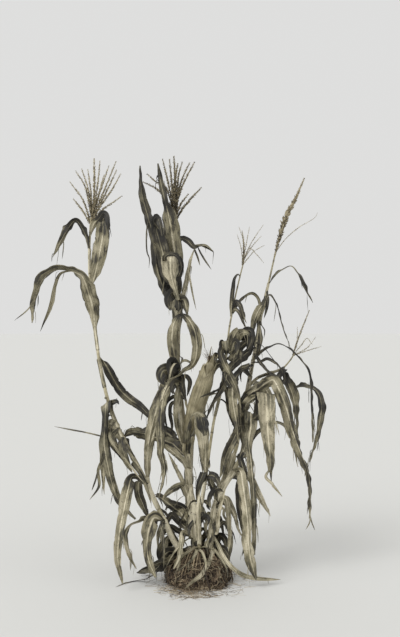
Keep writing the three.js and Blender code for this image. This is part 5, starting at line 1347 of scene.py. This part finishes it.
# ear: husk leaves wrapped round it in layers, with frayed tips and withered silk
ear = {
    "foot": [-64, 560, -58], "tip": [46, 893, -88], "radius": 31 * mm,
    # the profile runs on past the tip, to profileEnd times the ear's length
    "profile": [0.26, 0.42, 0.6, 0.77, 0.93, 0.99, 1, 0.96, 0.87, 0.7, 0.44, 0.3, 0.26], "profileEnd": 1.2,
    "core": 0.86, "coreLength": 0.97, "rows": 60, "columns": 30, "seed": 7,
    # bearing in degrees, share of the ear's length it reaches, tone at its foot, middle and tip
    "husks": [
        [20, 1.16, [0.35, 0.38, 0.5]], [150, 1.12, [0.3, 0.35, 0.5]], [265, 1.1, [0.35, 0.35, 0.34]],
        [75, 1.06, [0.3, 0.38, 0.5]], [200, 1.02, [0.2, 0.3, 0.4]], [320, 0.96, [0.3, 0.4, 0.45]],
        [250, 0.9, [0.15, 0.38, 0.42]],
    ],
    "layer": 0.7 * mm, "halfAngle": 112, "flare": 9 * mm, "thickness": 0.6 * mm,
    "frays": 4, "frayDepth": 0.03, "frayWidth": 0.09,
    "pucker": 1 * mm, "rib": 0.5 * mm, "ribs": 21, "edge": 1.4 * mm,
    "silks": 110, "silkRadius": 0.42 * mm, "silkReach": 52 * mm, "silkTaper": 0.5, "silkSides": 4,
    "silkFrom": (0.94, 1.0), "silkTuft": (0.5, 8),
    "shank": [[-58, 510, -16], [-66, 530, -38], [-62, 572, -59]], "shankRadius": 7.4 * mm,
}
earFoot, earTip = place(ear["foot"]), place(ear["tip"])
earWay = (earTip - earFoot).normalized()
earLength = (earTip - earFoot).length
earFace = earWay.cross(Vector((0, 1, 0))).normalized()
earEdge = earFace.cross(earWay)


def earSpot(bearing, share, radius):
    out = earFace * math.cos(bearing) + earEdge * math.sin(bearing)
    return earFoot + earWay * earLength * share + out * radius


def addHusk(whole, bearing, reach, tone, layer, draw):
    mesh, grain, finish = newMesh()
    pick, seed = draw.random(), draw.uniform(0, 50)
    flare = ear["flare"] * draw.uniform(0.2, 1.4)
    frays = [(draw.uniform(-0.9, 0.9), draw.uniform(0.86, 0.97)) for _ in range(ear["frays"])]
    for vert in bmesh.ops.create_grid(mesh, x_segments=ear["columns"], y_segments=ear["rows"],
                                      size=1)["verts"]:
        u, share = vert.co.x, (vert.co.y + 1) / 2
        fray = max(ear["frayDepth"] * math.exp(-((u - spot) / ear["frayWidth"]) ** 2)
                   * smooth(top - 0.1, 1, share) for spot, top in frays)
        at = (share - fray) * reach
        half = math.radians(ear["halfAngle"]) * (1 - 0.93 * smooth(0.66, 1, share) ** 1.2)
        angle = math.radians(bearing) + u * half
        radius = along(ear["profile"], at / ear["profileEnd"]) * ear["radius"] + ear["layer"] * layer
        pucker = ear["pucker"] * noise.noise(Vector((angle * 3.2, at * 4, seed)))
        radius += pucker + ear["rib"] * math.sin(angle * ear["ribs"] + seed)
        radius += ear["edge"] * abs(u) ** 4 + flare * smooth(0.82, 1, share) ** 2
        vert.co = earSpot(angle, at, radius)
        vert[grain] = (angle * ear["radius"] + pick, pick * 9, at * earLength)
        vert[finish] = (along(tone, share), 0, share, pick)
    joinTo(whole, mesh)


def addSilk(mesh, draw):
    bearing, lean = draw.uniform(0, fullTurn), draw.uniform(0.05, 0.75)
    start = earSpot(bearing, draw.uniform(*ear["silkFrom"]), draw.uniform(*ear["silkTuft"]) * mm)
    out = earWay * math.cos(lean) + (earSpot(bearing, 0, 1) - earFoot) * math.sin(lean) + earFace * 0.35
    reach = ear["silkReach"] * draw.uniform(0.5, 1.2)
    drop = Vector((draw.uniform(-0.3, 0.3), draw.uniform(-0.3, 0.3), -draw.uniform(0.1, 0.9)))
    way = [start, start + out * reach * 0.4, start + out * reach * 0.8 + drop * reach * 0.12,
           start + out * reach + drop * reach * 0.4]
    frames = framesAlong(way, 9, None, Vector)
    tone = draw.uniform(0.2, 0.75)
    addTube(mesh, frames, tapered(ear["silkRadius"], ear["silkTaper"]), ear["silkSides"],
            lambda share: tone)


draw = random.Random(ear["seed"])
coreMesh, grain, finish = newMesh()
for vert in bmesh.ops.create_uvsphere(coreMesh, u_segments=32, v_segments=40, radius=1)["verts"]:
    share, bearing = (vert.co.z + 1) / 2, math.atan2(vert.co.y, vert.co.x)
    ends = math.sqrt(max(1 - abs(vert.co.z) ** 12, 0))
    at = share * ear["coreLength"]
    radius = along(ear["profile"], at / ear["profileEnd"]) * ear["radius"] * ear["core"] * ends
    vert.co = earSpot(bearing, at, radius)
    vert[grain], vert[finish] = (bearing * ear["radius"], 0, share * earLength), (0.45, 0, share, 0.5)
shank = bowed(ear["shank"], 0)
bmesh.ops.recalc_face_normals(coreMesh, faces=coreMesh.faces[:])
addTube(coreMesh, framesAlong(shank, 14), lambda share: ear["shankRadius"], 14, lambda share: 0.5)
newPiece("ear_core", coreMesh, [dryHusk], ["ear"])
huskMesh = newMesh()[0]
for layer, (bearing, reach, tone) in enumerate(ear["husks"]):
    addHusk(huskMesh, bearing, reach, tone, layer, draw)
husk = newPiece("ear_husk", huskMesh, [dryHusk], [])
thicken(husk, ear["thickness"])
silkMesh = newMesh()[0]
for _ in range(ear["silks"]):
    addSilk(silkMesh, draw)
newPiece("ear_silk", silkMesh, [witheredSilk], [])
print("ear made")


# root ball: a heap of soil bound by roots, with brace roots and dead straps over it
rootBall = {
    "radius": 132 * mm, "height": 118 * mm, "lumps": 24 * mm, "clods": 8 * mm, "crumbs": 2.5 * mm,
    "skin": 6 * mm,  # the soil lies this deep under the roots
    "looseClods": 260, "clodSize": 8 * mm,
    "fineRoots": 950, "fineRadius": 0.9 * mm, "fineLength": 90 * mm, "runOut": 60, "stray": 9 * mm,
    "looseRoots": 700, "looseLength": (18, 70), "matWidth": 115 * mm, "matFront": -262 * mm,
    "matInside": 16 * mm, "matRise": 14 * mm, "taper": 0.6, "sides": 4,
    "braces": 12, "braceRadius": 5.2 * mm, "thinBraces": 22, "thinBraceRadius": 2.6 * mm,
    "braceTaper": 0.55, "braceSides": 8, "braceTop": (122, 150),
    "flakes": 46, "flakeSize": (12, 42), "flakeWidth": (3, 9), "ground": 0.2 * mm, "seed": 11,
}
crownStraps = [
    {
        "width": 17, "tone": [0.45, 0.6, 0.55],
        "way": [
            [52, 186, -46], [72, 148, -72], [92, 104, -104], [126, 58, -120], [166, 26, -112], [206, 12, -92],
            [265, 5, -76], [327, 4, -62],
        ],
    },
    {
        "width": 19, "tone": [0.55, 0.72, 0.66, 0.6],
        "way": [
            [46, 150, -36], [52, 124, -52], [43, 90, -72], [25, 55, -106], [3, 22, -130], [-38, -8, -152],
            [-62, -34, -162],
        ],
    },
    {
        "width": 16, "tone": [0.5, 0.66, 0.6],
        "way": [[0, 110, -40], [-12, 134, -58], [-55, 110, -86], [-92, 81, -100], [-108, 46, -118]],
    },
    {
        "width": 12, "tone": [0.4, 0.5, 0.5],
        "way": [[-44, 84, -36], [-66, 122, -58], [-82, 88, -98], [-92, 40, -124]],
    },
]


def moundSpot(bearing, rise, out=0):
    # a point on the heap, out from its skin; rise is 0 at the ground and 90 degrees at the crown
    bulge = noise.noise(Vector((math.cos(bearing) * 1.7, math.sin(bearing) * 1.7, rise * 1.8)))
    radius = rootBall["radius"] * max(math.cos(rise), 0) ** 0.8 + rootBall["lumps"] * bulge
    radius += out * math.cos(rise)
    height = (rootBall["height"] + rootBall["lumps"] * bulge * 0.7 + out) * math.sin(rise)
    return Vector((math.cos(bearing) * radius, math.sin(bearing) * radius, height))


draw = random.Random(rootBall["seed"])
soilMesh, grain, finish = newMesh()
for vert in bmesh.ops.create_icosphere(soilMesh, subdivisions=6, radius=1)["verts"]:
    way = vert.co.copy()
    rise, bearing = math.asin(min(max(way.z, 0), 1)), math.atan2(way.y, way.x)
    rough = rootBall["clods"] * (2 * abs(noise.noise(way * 5)) - 0.5)
    rough += rootBall["clods"] * noise.noise(way * 11)
    rough += rootBall["crumbs"] * noise.noise(way * 31)
    spot = moundSpot(bearing, rise, rough - rootBall["skin"])
    if way.z < 0:
        spot = Vector((spot.x, spot.y, 0)) * Vector((way.x, way.y)).length
    vert.co = spot
    # the tone follows how far the skin is pushed in or out: painted shade in the hollows, painted light on
    # the lumps
    vert[grain], vert[finish] = spot, (0.3 + 0.3 * rough / rootBall["clods"], 0, way.z, 0.5)
for _ in range(rootBall["looseClods"]):
    size = rootBall["clodSize"] * draw.uniform(0.25, 1) ** 1.5
    centre = moundSpot(draw.uniform(0, fullTurn), draw.uniform(0.04, 1.4), draw.uniform(-2, 3) * mm)
    tone, pick = draw.uniform(0.1, 0.5), draw.uniform(0, 9)
    clodMesh, grain, finish = newMesh()
    for vert in bmesh.ops.create_icosphere(clodMesh, subdivisions=2, radius=1)["verts"]:
        way = vert.co.copy()
        vert.co = centre + way * size * (0.7 + 0.5 * noise.noise(way * 1.5 + centre * 90))
        vert.co.z = max(vert.co.z, 0)
        vert[grain], vert[finish] = vert.co, (tone, 0, 0, 0.5)
    joinTo(soilMesh, clodMesh)
newPiece("soil", soilMesh, [rootedSoil], ["root_ball"])


def addRoot(mesh, draw, length, radius, tone, bearing, rise, out):
    # wanders down over the heap, and ends in it or a little way out on the ground
    steps = 8
    stride = length / steps
    heading = draw.uniform(-1.3, 1.3)
    way = []
    for _ in range(steps + 1):
        spot = moundSpot(bearing, max(rise, 0), out + draw.uniform(-2, 3.5) * mm)
        spot += levelWay(bearing) * max(-rise, 0) * rootBall["runOut"] * mm
        spot.z = max(spot.z, radius * 1.1)
        way.append(spot)
        heading = min(max(heading + draw.uniform(-0.7, 0.7), -1.9), 1.9)
        rise -= stride * math.cos(heading) / rootBall["radius"]
        bearing += stride * math.sin(heading) / (rootBall["radius"] * max(math.cos(max(rise, 0)), 0.25))
        out = min(out + draw.uniform(-2.5, 2.5) * mm, rootBall["stray"])
        if rise < -0.3:
            break
    if len(way) > 2:
        frames = framesAlong(way, 14, None, Vector)
        addTube(mesh, frames, tapered(radius, rootBall["taper"]), rootBall["sides"], lambda share: tone, (),
                draw.random())


rootMesh = newMesh()[0]
for _ in range(rootBall["fineRoots"]):
    radius = rootBall["fineRadius"] * draw.uniform(0.35, 1) ** 1.3 * 1.5
    addRoot(rootMesh, draw, rootBall["fineLength"] * draw.uniform(0.35, 1.3), radius, draw.uniform(0.1, 0.85),
            draw.uniform(0, fullTurn), draw.uniform(0.15, 1.45), draw.uniform(-3, 4) * mm)
for _ in range(rootBall["looseRoots"]):
    # a tangled mat of loose roots on the ground, most of it in front and thinner farther out
    bearing = draw.choice((draw.uniform(0, fullTurn), draw.gauss(-1.75, 0.45), draw.gauss(-1.85, 0.3)))
    away = draw.uniform(0, 1) ** 1.6
    out = moundSpot(bearing, 0).length - rootBall["matInside"] + away * rootBall["matWidth"]
    spot = levelWay(bearing) * out
    radius = draw.uniform(0.3, 0.8) * mm
    heading, stride = draw.uniform(0, fullTurn), draw.uniform(*rootBall["looseLength"]) * mm / 6
    way = []
    for _ in range(7):
        way.append(Vector((spot.x, spot.y, radius * 1.2 + draw.uniform(0,
        rootBall["matRise"]) * (1 - away) ** 2)))
        heading += draw.uniform(-0.6, 0.6)
        spot = spot + levelWay(heading) * stride
    if min(point.y for point in way) > rootBall["matFront"]:
        tone = draw.uniform(0.2, 0.95)
        addTube(rootMesh, framesAlong(way, 12, None, Vector), tapered(radius, rootBall["taper"]),
                rootBall["sides"], lambda share: tone, (), draw.random())
keepAbove(rootMesh, rootBall["ground"])
newPiece("fine_roots", rootMesh, [woodyRoot], [])

braceMesh = newMesh()[0]
for i in range(rootBall["braces"] + rootBall["thinBraces"]):
    thick = i < rootBall["braces"]
    radius = (rootBall["braceRadius"] if thick else rootBall["thinBraceRadius"]) * draw.uniform(0.7, 1.15)
    bearing = i / rootBall["braces"] * 2 * math.pi + (0.25 * math.sin(i * 5) if thick else draw.uniform(0, 6))
    reach = rootBall["radius"] / mm * (1.0 + 0.1 * math.sin(i * 3.7))
    top = draw.uniform(*rootBall["braceTop"])
    way = []
    for out, height in ((0.16, top), (0.4, top - 6), (0.68, 104), (0.9, 60), (1.02, 4)):
        turned = bearing + draw.uniform(-0.12, 0.12)
        way.append(Vector((math.cos(turned) * out * reach, math.sin(turned) * out * reach, height)) * mm)
    tone = draw.uniform(0.3, 0.85)
    addTube(braceMesh, framesAlong(way, 22, None, Vector), tapered(radius, rootBall["braceTaper"]),
            rootBall["braceSides"], lambda share: tone - 0.3 * share, (), draw.random())
keepAbove(braceMesh, rootBall["ground"])
newPiece("brace_roots", braceMesh, [woodyRoot], [])

strapMesh = newMesh()[0]
for strap in crownStraps:
    style = {"tone": strap["tone"], "fold": 12, "roll": 40, "wave": 1.5 * mm, "tears": 8, "taper": 0.7}
    addBlade(strapMesh, bowed(strap["way"], 0), [30] * len(strap["way"]), strap["width"] * mm, style, draw)
for _ in range(rootBall["flakes"]):
    bearing, rise = draw.uniform(0, fullTurn), draw.uniform(0.05, 1.3)
    size = draw.uniform(*rootBall["flakeSize"]) * mm
    turn = draw.uniform(0, 3.14)
    way = [moundSpot(bearing + math.cos(turn) * size * n * 5, max(rise + math.sin(turn) * size * n * 5, 0.03),
                     draw.uniform(2, 7) * mm) for n in (-1, 0, 1)]
    style = {"tone": draw.uniform(0.25, 0.8), "tears": 20, "wave": 1 * mm, "rowStep": 6 * mm}
    addBlade(strapMesh, way, [draw.uniform(0, 180)] * 3, draw.uniform(*rootBall["flakeWidth"]) * mm, style,
    draw,
             toWorld=Vector, shreds=False)
keepAbove(strapMesh, blade["ground"])
straps = newPiece("dead_straps", strapMesh, [driedBladeUpper, driedBladeUnder], [])
thicken(straps, blade["thickness"])
print("root ball made")


# floor, light and camera
studio = {
    "floor": "#cbcbc8", "floorRadius": 60, "floorRoughness": 0.9, "sky": "#fbfbfa", "skyStrength": 0.76,
}
floorMesh = bmesh.new()
bmesh.ops.create_circle(floorMesh, cap_ends=True, segments=96, radius=studio["floorRadius"])
floorData = bpy.data.meshes.new("floor")
floorMesh.to_mesh(floorData)
floorMesh.free()
floor = addObject("floor", floorData)
paleFloor = bpy.data.materials.new("pale_floor")
paleFloor.use_nodes = True
surface = paleFloor.node_tree.nodes["Principled BSDF"].inputs
surface["Base Color"].default_value = linear(studio["floor"])
surface["Roughness"].default_value = studio["floorRoughness"]
floorData.materials.append(paleFloor)

world = bpy.data.worlds.new("pale_studio")
world.use_nodes = True
sky = world.node_tree.nodes["Background"].inputs
sky["Color"].default_value = linear(studio["sky"])
sky["Strength"].default_value = studio["skyStrength"]
bpy.context.scene.world = world
bpy.context.scene.view_settings.view_transform = "Standard"

# broad, even lamps far off, so the floor is as light at the horizon as under the plant
lamps = {
    "key": {"from": (-2.6, -3.0, 3.2), "power": 2.0, "spread": 32},
    "fill": {"from": (3.0, -1.6, 1.6), "power": 0.5, "spread": 60},
}
for name, lamp in lamps.items():
    light = bpy.data.lights.new(name, "SUN")
    light.energy, light.angle = lamp["power"], math.radians(lamp["spread"])
    holder = addObject(name, light)
    holder.location = lamp["from"]
    holder.rotation_euler = (-holder.location).to_track_quat("-Z", "Y").to_euler()

lens = bpy.data.cameras.new("camera")
lens.lens, lens.sensor_width, lens.sensor_fit = camera["lens"], camera["sensor"], "AUTO"
viewer = addObject("camera", lens)
viewer.location = (0, -camera["distance"], camera["height"])
viewer.rotation_euler = (math.radians(90), 0, 0)
bpy.context.scene.camera = viewer
